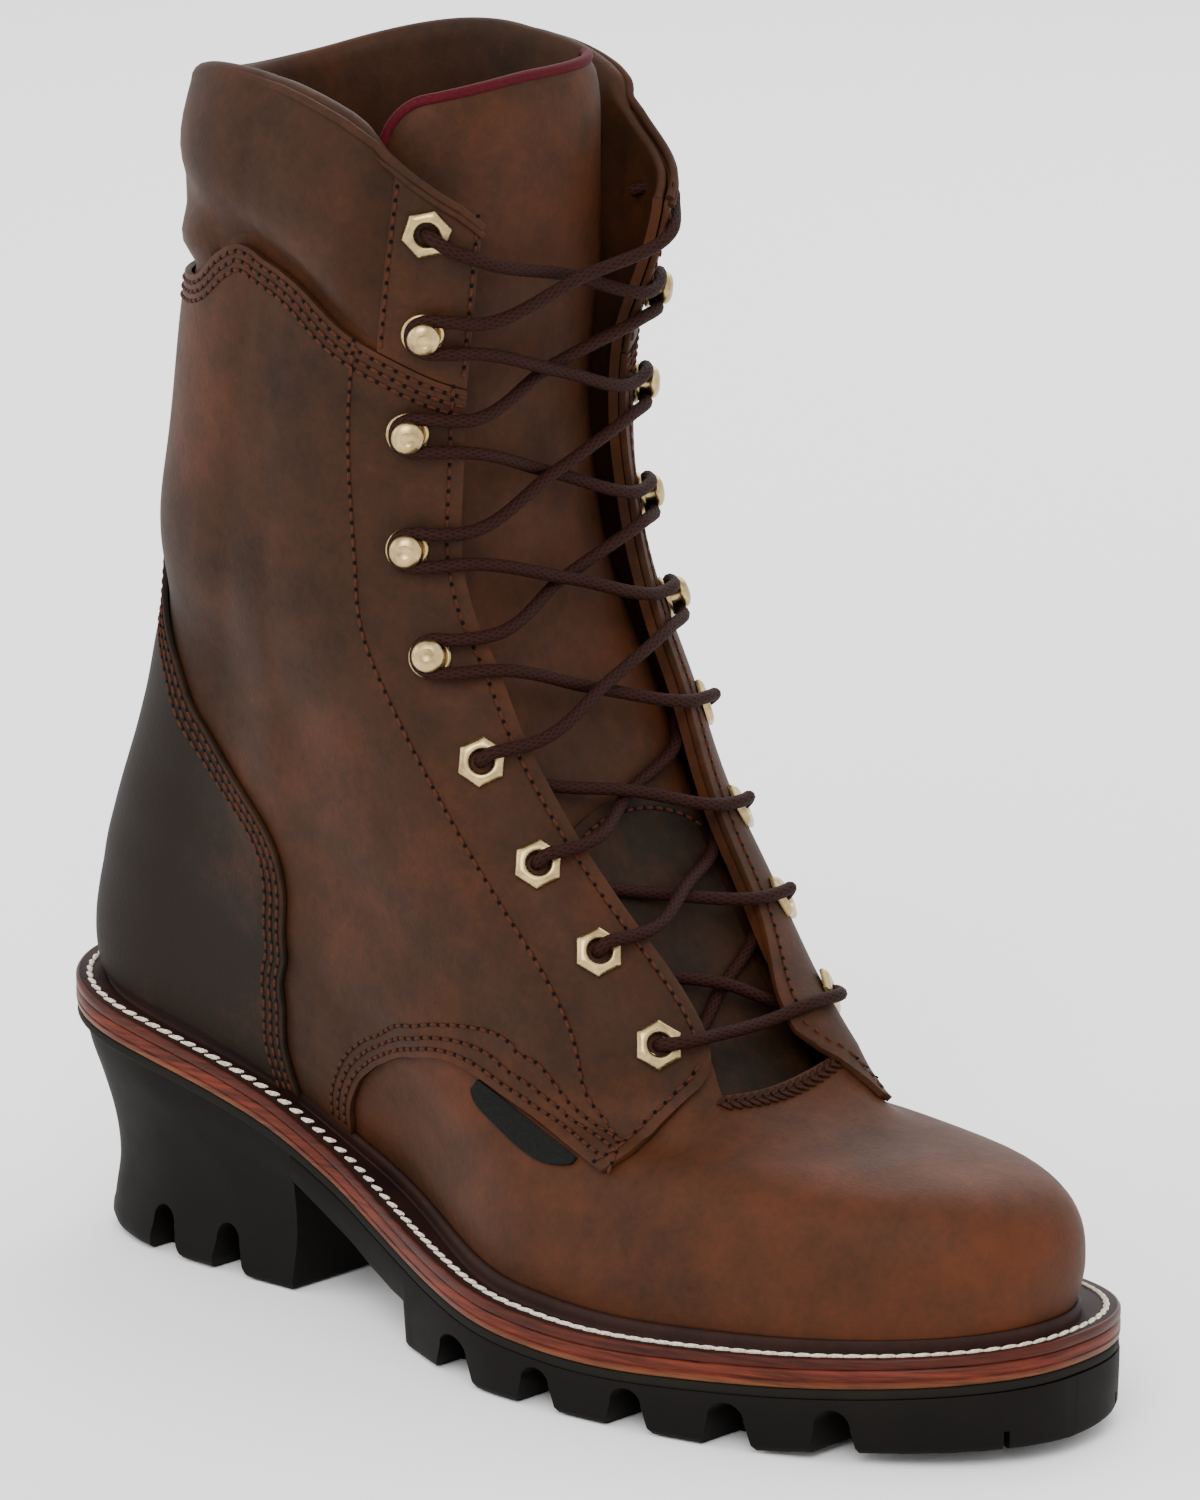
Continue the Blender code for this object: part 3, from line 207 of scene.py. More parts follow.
UNDERSIDE = [
    (.308, 2.45), (.345, 1.80), (.395, 1.18), (.425, .96), (.452, .86), (.457, 0), (.60, 0),
    (.817, 0), (.869, .145), (.895, .20), (1, .36),
]
Slot = namedtuple("Slot", "rear front height")
LUG_SLOTS = table(
    Slot,
    (.508, .566, .94), (.612, .653, .88), (.698, .739, .90), (.782, .825, .98), (.864, .902, 1.10),
)
HEEL_SLOTS = table(
    Slot,
    (.130, .167, 1), (.203, .240, 1),
)
HeelRow = namedtuple("HeelRow", "height back side")
HEEL_ROWS = table(
    HeelRow,
    (0, .0108, .0068), (.05, .0086, .0056), (.16, .0090, .0060), (.34, .0104, .0066),
    (.55, .0092, .0056), (.75, .0055, .0036), (.9, .0024, .0016), (1, .0014, .0010),
)

# Soft troughs and swells pressed into the leather: centre, reach in metres, lean in
# degrees from the ring's direction, and height, negative for a trough
Fold = namedtuple("Fold", "turn level along across lean height")
FOLDS = table(
    Fold,
    (-.62, .80, .045, .020, 4, -.0005), (-.50, .71, .050, .018, -8, .0006),
    (-.56, .61, .046, .014, -14, -.0009), (-.46, .53, .044, .015, -20, .0007),
    (-.40, .47, .034, .012, -26, -.0006), (-.70, .47, .030, .010, -10, -.0010),
    (-.80, .74, .030, .014, 10, .0010), (-.90, .66, .024, .009, 4, -.0016),
    (-.30, .44, .026, .010, 40, -.0007), (-.20, .31, .030, .010, 10, -.0006),
    (.55, .78, .040, .012, -8, -.0013), (.60, .66, .040, .012, 10, .0011),
    (.58, .58, .040, .010, 16, -.0014), (.45, .50, .040, .012, 22, .0010),
    (.80, .70, .030, .012, -6, .0012), (.88, .62, .028, .010, -2, -.0013),
    (.22, .30, .030, .010, -12, -.0006), (0, .335, .040, .008, 0, -.0007),
    (0, .285, .036, .008, 0, .0005), (-.45, .30, .030, .010, -30, -.0007),
)
COLLAR_FOLDS = table(
    Fold,
    (-.70, .951, .024, .0060, -14, -.0024), (-.62, .972, .026, .010, -10, .0008),
    (-.80, .944, .016, .0055, 8, -.0018), (-.92, .966, .014, .008, 20, -.0009),
    (.60, .970, .016, .008, -50, -.0020), (.74, .965, .014, .008, -70, -.0016),
    (.88, .975, .014, .008, -80, -.0016), (-.40, .968, .024, .008, -30, .0008),
)
# Darker and lighter places of the leather: centre, reach in metres, and tone
Tone = namedtuple("Tone", "turn level reach amount")
TONES = table(
    Tone,
    (-.52, .56, .040, .55), (-.40, .30, .030, .25), (-.62, .80, .036, .35), (-.48, .74, .030, -.55),
    (-.66, .64, .030, -.40), (-.36, .50, .022, -.30), (-.45, .88, .026, -.30),
    (-.85, .40, .050, -.75), (-.88, .22, .050, -.60), (-.78, .86, .030, .35),
    (-.60, .975, .022, -.45), (-.35, .975, .020, -.35), (-.82, .985, .024, .30),
    (-.10, .12, .045, .45), (.06, .20, .040, .40), (-.30, .10, .045, -.10), (0, .34, .030, -.25),
    (-.24, .26, .026, .20), (.52, .56, .040, .45), (.60, .80, .036, .25), (.46, .72, .030, -.50),
    (.85, .40, .050, -.75), (.88, .22, .050, -.60), (.30, .12, .045, .15), (.60, .975, .022, -.35),
    (.35, .60, .026, .35),
)


def smooth(positions, rows, where):
    """Smooth curve through rows of values that stand at the positions, read at each where."""
    positions = np.asarray(positions, float)
    rows = np.asarray(rows, float)
    where = np.asarray(where, float)
    single = rows.ndim == 1
    if single:
        rows = rows[:, None]
    step = np.diff(positions)[:, None]
    rate = np.diff(rows, axis=0) / step
    slope = np.zeros_like(rows)
    slope[1:-1] = (rate[:-1] * step[1:] + rate[1:] * step[:-1]) / (step[:-1] + step[1:])
    slope[0] = 1.5 * rate[0] - 0.5 * slope[1]
    slope[-1] = 1.5 * rate[-1] - 0.5 * slope[-2]
    k = np.clip(np.searchsorted(positions, where, side="right") - 1, 0, len(positions) - 2)
    width = step[k][..., 0][..., None]
    t = (where - positions[k])[..., None] / width
    value = (1 + 2 * t) * (1 - t) ** 2 * rows[k] + t * (1 - t) ** 2 * width * slope[k]
    value = value + t * t * (3 - 2 * t) * rows[k + 1] + t * t * (t - 1) * width * slope[k + 1]
    return value[..., 0] if single else value


def ease(t):
    """Soft step from 0 to 1."""
    t = np.clip(t, 0, 1)
    return t * t * (3 - 2 * t)


def blend(share, start, end, low, high):
    """Soft change from one value to another between two shares."""
    return low + (high - low) * ease((share - start) / (end - start))


def rounded(share, power):
    """Falls from 1 to 0 like the end of an oval as the share goes to 1."""
    return np.maximum(1 - np.clip(share, 0, 1) ** power, 0) ** (1 / power)


def half_width(share, side):
    """Half width of an outline at a share of its length, 0 at the back."""
    rear = blend(share, side.heel_at, side.waist_at, side.heel, side.waist)
    fore = blend(share, side.waist_at, side.ball_at, side.waist, side.ball)
    width = np.where(share <= side.waist_at, rear, fore)
    width = width * rounded((side.heel_at - share) / side.heel_at, side.back_round)
    return width * rounded((share - side.ball_at) / (1 - side.ball_at), side.front_round)


def welt_top(x):
    """Height of the welt's top at x, from the sole's rear end."""
    rise = [row.rise * HEEL_RISE + row.spring * TOE_SPRING for row in SOLE_PROFILE]
    along = [row.along for row in SOLE_PROFILE]
    return FOREFOOT_HEIGHT + smooth(along, rise, np.clip(np.asarray(x) / SOLE_LENGTH, 0, 1))


def read_line(points, turn):
    """Level of a panel line at a turn or column."""
    return smooth([p.turn for p in points], [p.level for p in points], turn)


def straight_line(points, turn):
    """Level of a panel line with straight parts at a turn or column."""
    return np.interp(turn, [p.turn for p in points], [p.level for p in points])


def read_edge(points, level):
    """Turn of a panel edge at a level."""
    return smooth([p.level for p in points], [p.turn for p in points],
                  np.clip(level, points[0].level, points[-1].level))


def throat_edge(level):
    """Turn of the throat's edge."""
    return read_edge(THROAT_EDGE, level)


def turn_of(column, level, sign):
    """Turn of a column, which starts at the throat's edge."""
    edge = throat_edge(level)
    return sign * (edge + (1 - edge) * column)


def run_along(points):
    """Length of a polyline up to each of its points."""
    return np.concatenate([[0], np.cumsum(np.linalg.norm(np.diff(points, axis=0), axis=1))])


def arc_share(points, shares):
    """Points of a polyline at shares of its length."""
    run = run_along(points)
    return np.column_stack([np.interp(shares, run / run[-1], axis) for axis in points.T])


def smooth_path(points, count):
    """Smooth path through points, read at even shares of its length."""
    points = np.asarray(points, float)
    run = run_along(points)
    dense = smooth(run / run[-1], points, np.linspace(0, 1, 8 * count))
    return arc_share(dense, np.linspace(0, 1, count))


def sizes():
    """The sizes that a user can change."""
    return bpy.context.scene.boot_sizes


def colour_of(name):
    """One of the colours that a user can change."""
    return tuple(getattr(bpy.context.scene.boot_colours, name))


def tinted(colour, factor, add=0.0):
    """A lighter or darker colour."""
    return tuple(min(1, part * factor + add) for part in colour[:3]) + (1,)


class Form:
    """The upper's outer face as a fine grid, read at any level and turn."""

    LEVELS = 361
    TURNS = 240
    SAMPLES = 601

    def __init__(self):
        self.levels = np.linspace(0, 1, self.LEVELS)
        rows = smooth([r.level for r in RINGS], [r[2:] for r in RINGS], self.levels)
        self.points = np.stack([self.ring(Ring("", 0, *row)) for row in rows])
        along = np.gradient(self.points, axis=0)
        around = (np.roll(self.points, -1, axis=1) - np.roll(self.points, 1, axis=1)) / 2
        normal = np.cross(around, along)
        self.normals = normal / np.linalg.norm(normal, axis=2, keepdims=True)
        self.per_level = np.linalg.norm(along, axis=2)[..., None] * (self.LEVELS - 1)
        self.per_turn = np.linalg.norm(around, axis=2)[..., None] * self.TURNS

    def ring(self, row):
        """One ring from the back's middle round the lateral side, the front and the medial side."""
        share = (1 + np.cos(np.linspace(0, math.pi, self.SAMPLES))) / 2
        back_x, front_x = row.back_x * SOLE_LENGTH, row.front_x * SOLE_LENGTH
        back_z = welt_top(back_x) + row.back_rise * UPPER_RISE
        front_z = welt_top(front_x) + row.front_rise * UPPER_RISE
        x = back_x + (front_x - back_x) * share
        sole_chord = welt_top(back_x) + (welt_top(front_x) - welt_top(back_x)) * share
        z = back_z + (front_z - back_z) * share + row.bend * (welt_top(x) - sole_chord)
        z = z + 4 * row.crown * UPPER_RISE * share * (1 - share)
        halves = []
        for sign, *widths in ((-1, row.lateral_heel, row.lateral_waist, row.lateral_ball),
                              (1, row.medial_heel, row.medial_waist, row.medial_ball)):
            side = Side(row.heel_at, row.waist_at, row.ball_at, *widths, row.back_round,
                        row.front_round)
            half = np.column_stack([x, sign * BALL_WIDTH * half_width(share, side), z])
            halves.append(arc_share(half, np.linspace(0, 1, self.TURNS + 1)))
        lateral, medial = halves
        return np.concatenate([lateral[::-1], medial[1:-1]])

    def read(self, grid, level, turn):
        """Bilinear value of a grid at levels and turns, which wrap round the back."""
        level, turn = np.broadcast_arrays(np.asarray(level, float), np.asarray(turn, float))
        row = np.clip(level, 0, 1) * (self.LEVELS - 1)
        low = np.minimum(row.astype(int), self.LEVELS - 2)
        column = (turn + 1) * self.TURNS
        left = np.floor(column).astype(int)
        f = (row - low)[..., None]
        g = (column - left)[..., None]
        count = 2 * self.TURNS
        left, right = left % count, (left + 1) % count
        lower = grid[low, left] * (1 - g) + grid[low, right] * g
        upper = grid[low + 1, left] * (1 - g) + grid[low + 1, right] * g
        return lower * (1 - f) + upper * f

    def normal(self, level, turn):
        """Outward normal."""
        normal = self.read(self.normals, level, turn)
        return normal / np.linalg.norm(normal, axis=-1, keepdims=True)

    def at(self, level, turn, lift=0.0, folds=True):
        """Point on the leather, lifted along its outward normal."""
        lift = np.asarray(lift, float)
        if folds:
            lift = lift + relief(level, turn)
        return self.read(self.points, level, turn) + self.normal(level, turn) * lift[..., None]

    def level_over_welt(self, height, turn):
        """Level at which the form stands a height over the welt."""
        levels = np.linspace(0, .15, 61)
        result = []
        for each in np.atleast_1d(turn):
            points = self.read(self.points, levels, np.full(len(levels), each))
            result.append(np.interp(height, points[:, 2] - welt_top(points[:, 0]), levels))
        return np.array(result).reshape(np.shape(turn))


def spread(level, turn, centre):
    """Distances in metres along the ring and up the shaft from a centre on the form."""
    per_turn = float(FORM.read(FORM.per_turn, centre.level, centre.turn)[0])
    per_level = float(FORM.read(FORM.per_level, centre.level, centre.turn)[0])
    return (turn - centre.turn) * per_turn, (level - centre.level) * per_level


def pressed(level, turn, folds):
    """Height of a set of folds."""
    total = np.zeros(np.broadcast(level, turn).shape)
    for fold in folds:
        a, b = spread(level, turn, fold)
        lean = math.radians(fold.lean)
        u = a * math.cos(lean) + b * math.sin(lean)
        v = b * math.cos(lean) - a * math.sin(lean)
        total = total + fold.height * np.exp(-(u / fold.along) ** 2 - (v / fold.across) ** 2)
    return total


def relief(level, turn):
    """Height of the leather's folds over the form."""
    level, turn = np.asarray(level, float), np.asarray(turn, float)
    rise = .0062 * np.exp(-((level - .395) / .055) ** 2 - ((turn - .075) / .060) ** 2)
    flare = .0075 * ease((level - .89) / .10) * ease((.32 - turn) / .15) * (turn > 0)
    return pressed(level, turn, FOLDS) + rise + flare


def tone_of(level, turn):
    """Darker and lighter places, from -1 to 1."""
    total = np.zeros(np.broadcast(level, turn).shape)
    for tone in TONES:
        a, b = spread(level, turn, tone)
        total = total + tone.amount * np.exp(-(a * a + b * b) / tone.reach ** 2)
    return np.clip(total, -1, 1)


FORM = Form()


def linked(name, data):
    """A new object in the scene."""
    obj = bpy.data.objects.new(name, data)
    bpy.context.scene.collection.objects.link(obj)
    return obj


def mesh_object(name, points, faces, material, smooth_faces=True):
    """A new object from points in the drawing's frame, which is moved back to the heel's seat."""
    points = np.asarray(points, float).reshape(-1, 3) - np.array([HEEL_SEAT, 0, 0])
    mesh = bpy.data.meshes.new(name)
    mesh.from_pydata(points.tolist(), [], [list(map(int, f)) for f in faces])
    mesh.materials.append(material)
    if smooth_faces:
        mesh.shade_smooth()
    return linked(name, mesh)


def set_value(obj, name, values):
    """A float attribute on the points of a mesh."""
    attribute = obj.data.attributes.new(name, "FLOAT", "POINT")
    attribute.data.foreach_set("value", np.asarray(values, np.float32).ravel())


def clean_up(obj, merge=0.0):
    """Merge doubled points if asked, drop unused ones, and make a closed mesh's faces point out."""
    bm = bmesh.new()
    bm.from_mesh(obj.data)
    if merge:
        bmesh.ops.remove_doubles(bm, verts=bm.verts[:], dist=merge)
        bmesh.ops.dissolve_degenerate(bm, edges=bm.edges[:], dist=1e-6)
    bmesh.ops.delete(bm, geom=[v for v in bm.verts if not v.link_faces], context="VERTS")
    bmesh.ops.recalc_face_normals(bm, faces=bm.faces[:])
    if bm.calc_volume(signed=True) < 0:
        bmesh.ops.reverse_faces(bm, faces=bm.faces[:])
    bm.to_mesh(obj.data)
    bm.free()


def grid_faces(rows, columns):
    """Quads of a grid of points, rows first."""
    i, j = np.meshgrid(np.arange(rows - 1), np.arange(columns - 1), indexing="ij")
    a = (i * columns + j).ravel()
    return np.stack([a, a + 1, a + columns + 1, a + columns], axis=1).tolist()


def ring_faces(rows, count, closed=False):
    """Quads between rings of points; closed joins the last ring to the first."""
    faces = []
    for i in range(rows if closed else rows - 1):
        a, b = i * count, (i + 1) % rows * count
        for j in range(count):
            k = (j + 1) % count
            faces.append([a + j, a + k, b + k, b + j])
    return faces


def capped_rings(rows, count):
    """Faces of a turned solid: rings of points, closed by one face at each end."""
    ends = [list(range(count))[::-1], [(rows - 1) * count + k for k in range(count)]]
    return ring_faces(rows, count) + ends


def block_faces(rows, columns):
    """Quads of a grid whose last column is joined to its first."""
    joined = [[i * columns, (i + 1) * columns, (i + 2) * columns - 1, (i + 1) * columns - 1]
              for i in range(rows - 1)]
    return grid_faces(rows, columns) + joined


def closed_sheets(outer, inner):
    """Points and faces of a solid between two grids of points."""
    rows, columns = outer.shape[:2]
    count = rows * columns
    faces = grid_faces(rows, columns)
    faces += [[count + k for k in face[::-1]] for face in faces]
    border = list(range(columns))
    border += [i * columns + columns - 1 for i in range(1, rows)]
    border += [(rows - 1) * columns + j for j in range(columns - 2, -1, -1)]
    border += [i * columns for i in range(rows - 2, -1, -1)]
    faces += [[b, a, count + a, count + b] for a, b in zip(border[:-1], border[1:])]
    return np.concatenate([outer.reshape(-1, 3), inner.reshape(-1, 3)]), faces


def apply_modifiers(obj):
    """Replace an object's mesh by its evaluated one."""
    bpy.context.view_layer.update()
    graph = bpy.context.evaluated_depsgraph_get()
    mesh = bpy.data.meshes.new_from_object(obj.evaluated_get(graph))
    old = obj.data
    obj.modifiers.clear()
    obj.data = mesh
    bpy.data.meshes.remove(old)
    return obj


def finish_piece(obj, slot, *nodes):
    """Seat a finished piece on the boot in place of its solids."""
    obj.data.set_sharp_from_angle(angle=math.radians(50))
    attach(obj, "root")
    if nodes:
        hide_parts(*nodes)
    return obj


def overlay(name, levels, turns, lift, thickness, material, folds=True):
    """A panel: a fine grid over the form with thickness and softly cut edges."""
    points = FORM.at(levels, turns, lift, folds)
    rows, columns = levels.shape
    faces = grid_faces(rows, columns)
    i, j = rows // 2, columns // 2
    left_hand = np.cross(points[i, j + 1] - points[i, j], points[i + 1, j] - points[i, j])
    if np.dot(left_hand, FORM.normal(levels[i, j], turns[i, j])) < 0:
        faces = [face[::-1] for face in faces]
    obj = mesh_object(name, points, faces, material)
    set_value(obj, "tone", tone_of(levels, turns) if folds else np.zeros(levels.size))
    set_value(obj, "edge", border_closeness(points))
    shell = obj.modifiers.new("thickness", "SOLIDIFY")
    shell.thickness = thickness
    shell.offset = 1
    cut_edge = obj.modifiers.new("cut edge", "BEVEL")
    cut_edge.limit_method = "ANGLE"
    cut_edge.angle_limit = math.radians(55)
    cut_edge.width = .30 * thickness
    cut_edge.segments = 2
    return apply_modifiers(obj)


def border_closeness(points, reach=.0030):
    """1 on the rim of a grid and 0 a reach inside it."""
    rows, columns = points.shape[:2]
    rim = np.concatenate([points[0], points[-1], points[:, 0], points[:, -1]])
    tree = kdtree.KDTree(len(rim))
    for index, place in enumerate(rim):
        tree.insert(place, index)
    tree.balance()
    near = np.array([tree.find(place)[2] for place in points.reshape(-1, 3)])
    return np.clip(1 - near / reach, 0, 1).reshape(rows, columns)


def even_columns(breaks, step):
    """Columns that hold every break and stand no further apart than the step."""
    result = [breaks[0]]
    for a, b in zip(breaks[:-1], breaks[1:]):
        count = max(1, math.ceil((b - a) / step))
        result += [a + (b - a) * (k + 1) / count for k in range(count)]
    return np.array(result)


def wing_level(column):
    """Level of the quarter's lower edge at a column."""
    column = np.asarray(column, float)
    start, end = WING_ARCH[0].turn, WING_ARCH[-1].turn
    reach = .008 * ease((column - start) / .03)
    arch = sum(read_line(WING_ARCH, np.clip(column + reach * share, start, end)) / 9
               for share in np.linspace(-1, 1, 9))
    return np.where(column < start, straight_line(WING_FRONT, column), arch)


def socket(tree, name, kind, default=None, output=False):
    """A named group socket."""
    item = tree.interface.new_socket(name=name, in_out="OUTPUT" if output else "INPUT",
                                     socket_type=kind)
    if default is not None:
        item.default_value = default
    return item


class Nodes:
    """A short way to write a node tree."""

    def __init__(self, tree):
        self.tree = tree

    def feed(self, target, value):
        """Link a socket to another node's output, or set its value."""
        if isinstance(value, bpy.types.NodeSocket):
            self.tree.links.new(value, target)
        else:
            target.default_value = value

    def add(self, kind, inputs=None, **settings):
        """A node with its settings and inputs."""
        node = self.tree.nodes.new(kind)
        for key, value in settings.items():
            setattr(node, key, value)
        for key, value in (inputs or {}).items():
            self.feed(node.inputs[key], value)
        return node

    def first(self, kind, inputs=None, **settings):
        """The first output of a new node."""
        return self.add(kind, inputs, **settings).outputs[0]

    def math(self, operation, a, b=0.0):
        """A Math node's result."""
        return self.first("ShaderNodeMath", {0: a, 1: b}, operation=operation)

    def total(self, start, *parts):
        """A value plus other values times their weights."""
        for value, weight in parts:
            start = self.math("ADD", start, self.math("MULTIPLY", value, weight))
        return start

    def mix(self, factor, a, b):
        """A colour between two colours."""
        return self.add("ShaderNodeMix", {0: factor, 6: a, 7: b}, data_type="RGBA").outputs[2]

    def place(self):
        """Object coordinates."""
        return self.add("ShaderNodeTexCoord").outputs["Object"]

    def mark(self, name):
        """A mesh attribute's value."""
        return self.add("ShaderNodeAttribute", attribute_name=name).outputs["Fac"]

    def noise(self, vector, scale, detail=3.0, rough=.6):
        """A noise texture's value."""
        return self.first("ShaderNodeTexNoise", {"Vector": vector, "Scale": scale,
                                                 "Detail": detail, "Roughness": rough})

    def stretch(self, value, low, high, to_low=0.0, to_high=1.0):
        """Map a range to another, clamped."""
        return self.first("ShaderNodeMapRange", {0: value, 1: low, 2: high, 3: to_low, 4: to_high})

    def shade(self, colour, rough, specular=.10, height=None, strength=.4, distance=.0001):
        """Finish the Principled shader, with bumps if there is a height."""
        values = {"Base Color": colour, "Roughness": rough, "Specular IOR Level": specular}
        if height is not None:
            values["Normal"] = self.first("ShaderNodeBump", {
                "Height": height, "Strength": strength, "Distance": distance})
        shader = self.tree.nodes["Principled BSDF"]
        for key, value in values.items():
            self.feed(shader.inputs[key], value)
        return shader


def leather_group():
    """Oiled pull-up leather: mottled colour, fine grain height, and roughness."""
    tree = bpy.data.node_groups.new("oiled_leather", "ShaderNodeTree")
    for name in ("Dark", "Middle", "Light"):
        socket(tree, name, "NodeSocketColor", colour_of("leather_" + name.lower()))
    socket(tree, "Shift", "NodeSocketFloat", 0.0)
    socket(tree, "Grain", "NodeSocketFloat", 1.0)
    n = Nodes(tree)
    given = n.add("NodeGroupInput").outputs
    place = n.place()
    clouds = ((n.noise(place, 32.0), .85), (n.noise(place, 95.0, 5.0, .68), .80),
              (n.noise(place, 520.0, 4.0, .65), .45))
    clouds = [(n.math("SUBTRACT", cloud, .5), weight) for cloud, weight in clouds]
    amount = n.total(given["Shift"], *clouds, (n.mark("tone"), .42), (n.mark("edge"), .10))
    low = n.mix(n.stretch(amount, -.55, .05), given["Dark"], given["Middle"])
    colour = n.mix(n.stretch(amount, .02, .62), low, given["Light"])
    speck = n.stretch(n.noise(place, 1500.0), .62, .74, 0.0, .35)
    pores = n.add("ShaderNodeTexVoronoi", {"Vector": place, "Scale": 1150.0},
                  feature="F1").outputs["Distance"]
    height = n.total(n.math("MULTIPLY", pores, .45), (n.noise(place, 620.0, 4.0), .9),
                     (n.noise(place, 2600.0, 2.0, .5), .25))
    out = n.add("NodeGroupOutput")
    for name, kind, value in (
            ("Colour", "NodeSocketColor", n.mix(speck, colour, given["Dark"])),
            ("Height", "NodeSocketFloat", n.math("MULTIPLY", height, given["Grain"])),
            ("Roughness", "NodeSocketFloat", n.stretch(amount, -.5, .6, .68, .55))):
        socket(tree, name, kind, output=True)
        tree.links.new(value, out.inputs[name])
    return tree


def new_material(name):
    """A material and the short writer of its node tree."""
    material = bpy.data.materials.new(name)
    material.use_nodes = True
    return material, Nodes(material.node_tree)


def leather_material(name, shift, grain=1.0, dark=None, middle=None, light=None):
    """A leather made with the shared group."""
    material, n = new_material(name)
    group = n.add("ShaderNodeGroup", node_tree=bpy.data.node_groups.get("oiled_leather")
                  or leather_group())
    given = {"Shift": shift, "Grain": grain, "Dark": dark, "Middle": middle, "Light": light}
    for key, value in given.items():
        if value is not None:
            group.inputs[key].default_value = value
    n.shade(group.outputs["Colour"], group.outputs["Roughness"], .12, group.outputs["Height"],
            .35, .00022)
    return material


def rubber_material(name, colour, rough):
    """Black-brown rubber with a faint moulded grain and dust."""
    material, n = new_material(name)
    place = n.place()
    dust = n.stretch(n.noise(place, 60.0, 4.0), .45, .75)
    n.shade(n.mix(dust, colour, tinted(colour, 1.5, .0008)),
            n.stretch(dust, 0, 1, rough, rough + .12), .10, n.noise(place, 1400.0), .25, .00015)
    return material


def edge_leather_material(name, depth=1.0):
    """Burnished red-brown sole edge with long fibres and a tan lower band."""
    material, n = new_material(name)
    place = n.place()
    long = n.first("ShaderNodeMapping", {"Vector": place, "Scale": (60.0, 60.0, 900.0)})
    fibre = n.noise(long, 1.0, 5.0, .65)
    high = tinted(colour_of("sole_edge"), depth)
    low = tinted(high, .29)
    tan = colour_of("sole_edge_low")
    red = n.mix(n.stretch(fibre, .35, .68), low, high)
    tan = n.mix(n.stretch(fibre, .35, .65), tinted(tan, .37), tan)
    colour = n.mix(n.stretch(n.mark("band"), .28, .0), red, tan)
    colour = n.mix(n.stretch(n.noise(place, 90.0), .55, .80, 0.0, .5), colour, low)
    n.shade(colour, n.stretch(fibre, .3, .7, .36, .50), .14, fibre, .35, .0003)
    return material


def fibre_material(name, hollow, high, rough, scale, start, specular):
    """Two tones of fine fibre with a slight bump."""
    material, n = new_material(name)
    fibre = n.noise(n.place(), scale, 2.0, .5)
    n.shade(n.mix(n.stretch(fibre, start, .65), hollow, high), rough, specular, fibre)
    return material


def thread_material(name, colour, rough=.7, twist=2600.0):
    """Waxed thread."""
    return fibre_material(name, tinted(colour, .55), colour, rough, twist, .35, .12)


def cloth_material(name, colour, rough):
    """Woven or plain dark cloth."""
    return fibre_material(name, colour, tinted(colour, 1.5, .001), rough, 1600.0, .40, .10)


BRAID_STRANDS = 8


def lace_material():
    """Round waxed lace with a fine braid along its own UV map, darker between the strands as
    painted shade.
    """
    material, n = new_material("lace_braid")
    split = n.add("ShaderNodeSeparateXYZ", {0: n.first("ShaderNodeUVMap", uv_map="braid")})
    around = n.math("MULTIPLY", split.outputs[0], BRAID_STRANDS * 2 * math.pi)
    along = n.math("MULTIPLY", split.outputs[1], 2 * math.pi)
    left, right = (n.math("SINE", n.math(turn, around, along)) for turn in ("ADD", "SUBTRACT"))
    weave = n.math("MAXIMUM", left, right)
    # Darker between the braid's strands, down to a fifth of the lace's colour: the braid's pattern
    # with painted shade in its grooves
    shade = n.stretch(n.total(weave, (n.noise(n.place(), 900.0), .8)), -.4, 1.6)
    colour = colour_of("lace")
    n.shade(n.mix(shade, tinted(colour, .2), colour), .75, .10, weave, .35, .0002)
    return material


def brass_material():
    """Antique pale brass with darker hollows and fine scratches."""
    material, n = new_material("antique_brass")
    place = n.place()
    colour = colour_of("brass")
    tone = n.mix(n.stretch(n.noise(place, 260.0, 4.0), .4, .7), colour, tinted(colour, .45))
    scratch = n.stretch(n.noise(place, 1800.0, 3.0, .7), .3, .7, .24, .42)
    n.shade(tone, scratch, .5).inputs["Metallic"].default_value = 1.0
    return material


_materials = {}


def material_of(name):
    """One of the boot's finishes, made when first asked for."""
    makers = {
        "vamp": (leather_material, "vamp_leather", .16),
        "quarter": (leather_material, "quarter_leather", -.04),
        "counter": (leather_material, "counter_leather", -.36),
        "collar": (leather_material, "collar_leather", .0),
        "tongue": (leather_material, "tongue_leather", .06),
        "patch": (leather_material, "tongue_patch_leather", -.42),
        "lining": (leather_material, "lining_leather", -.05, .6),
        "welt": (leather_material, "welt_leather", -.25, .6, (.0085, .0034, .0026, 1),
                 (.022, .0068, .0044, 1), (.040, .0125, .0075, 1)),
        "midsole": (edge_leather_material, "midsole_edge"),
        "welt_edge": (edge_leather_material, "welt_edge", .55),
        "slip": (rubber_material, "slip_rubber", colour_of("slip_sole"), .7),
        "rubber": (rubber_material, "lug_rubber", colour_of("rubber"), .65),
        "thread": (thread_material, "brown_thread", colour_of("thread")),
        "stay": (thread_material, "stay_cord", tinted(colour_of("thread"), .45)),
        # needle holes: near-black discs that paint the shade inside each needle hole
        "hole": (cloth_material, "needle_hole", (.0025, .0012, .0008, 1), .95),
        "cream": (thread_material, "cream_thread", colour_of("welt_thread"), .6, 1500.0),
        "lace": (lace_material,),
        "brass": (brass_material,),
        # eyelet holes: a near-black disc at the bottom of each hole, painted shade
        "dark": (cloth_material, "eyelet_inside", (.004, .003, .003, 1), .9),
        "piping": (cloth_material, "burgundy_piping", colour_of("piping"), .7),
        "tab": (cloth_material, "black_tab_cloth", (.0035, .0035, .0032, 1), .8),
        "insole": (cloth_material, "insole_cloth", (.050, .038, .028, 1), .9),
    }
    if name not in _materials:
        maker, *given = makers[name]
        _materials[name] = maker(*given)
    return _materials[name]


LOW_ROWS = 33
SHAFT_ROWS = 66
COLLAR_ROWS = 13
CREST_ROWS = 7


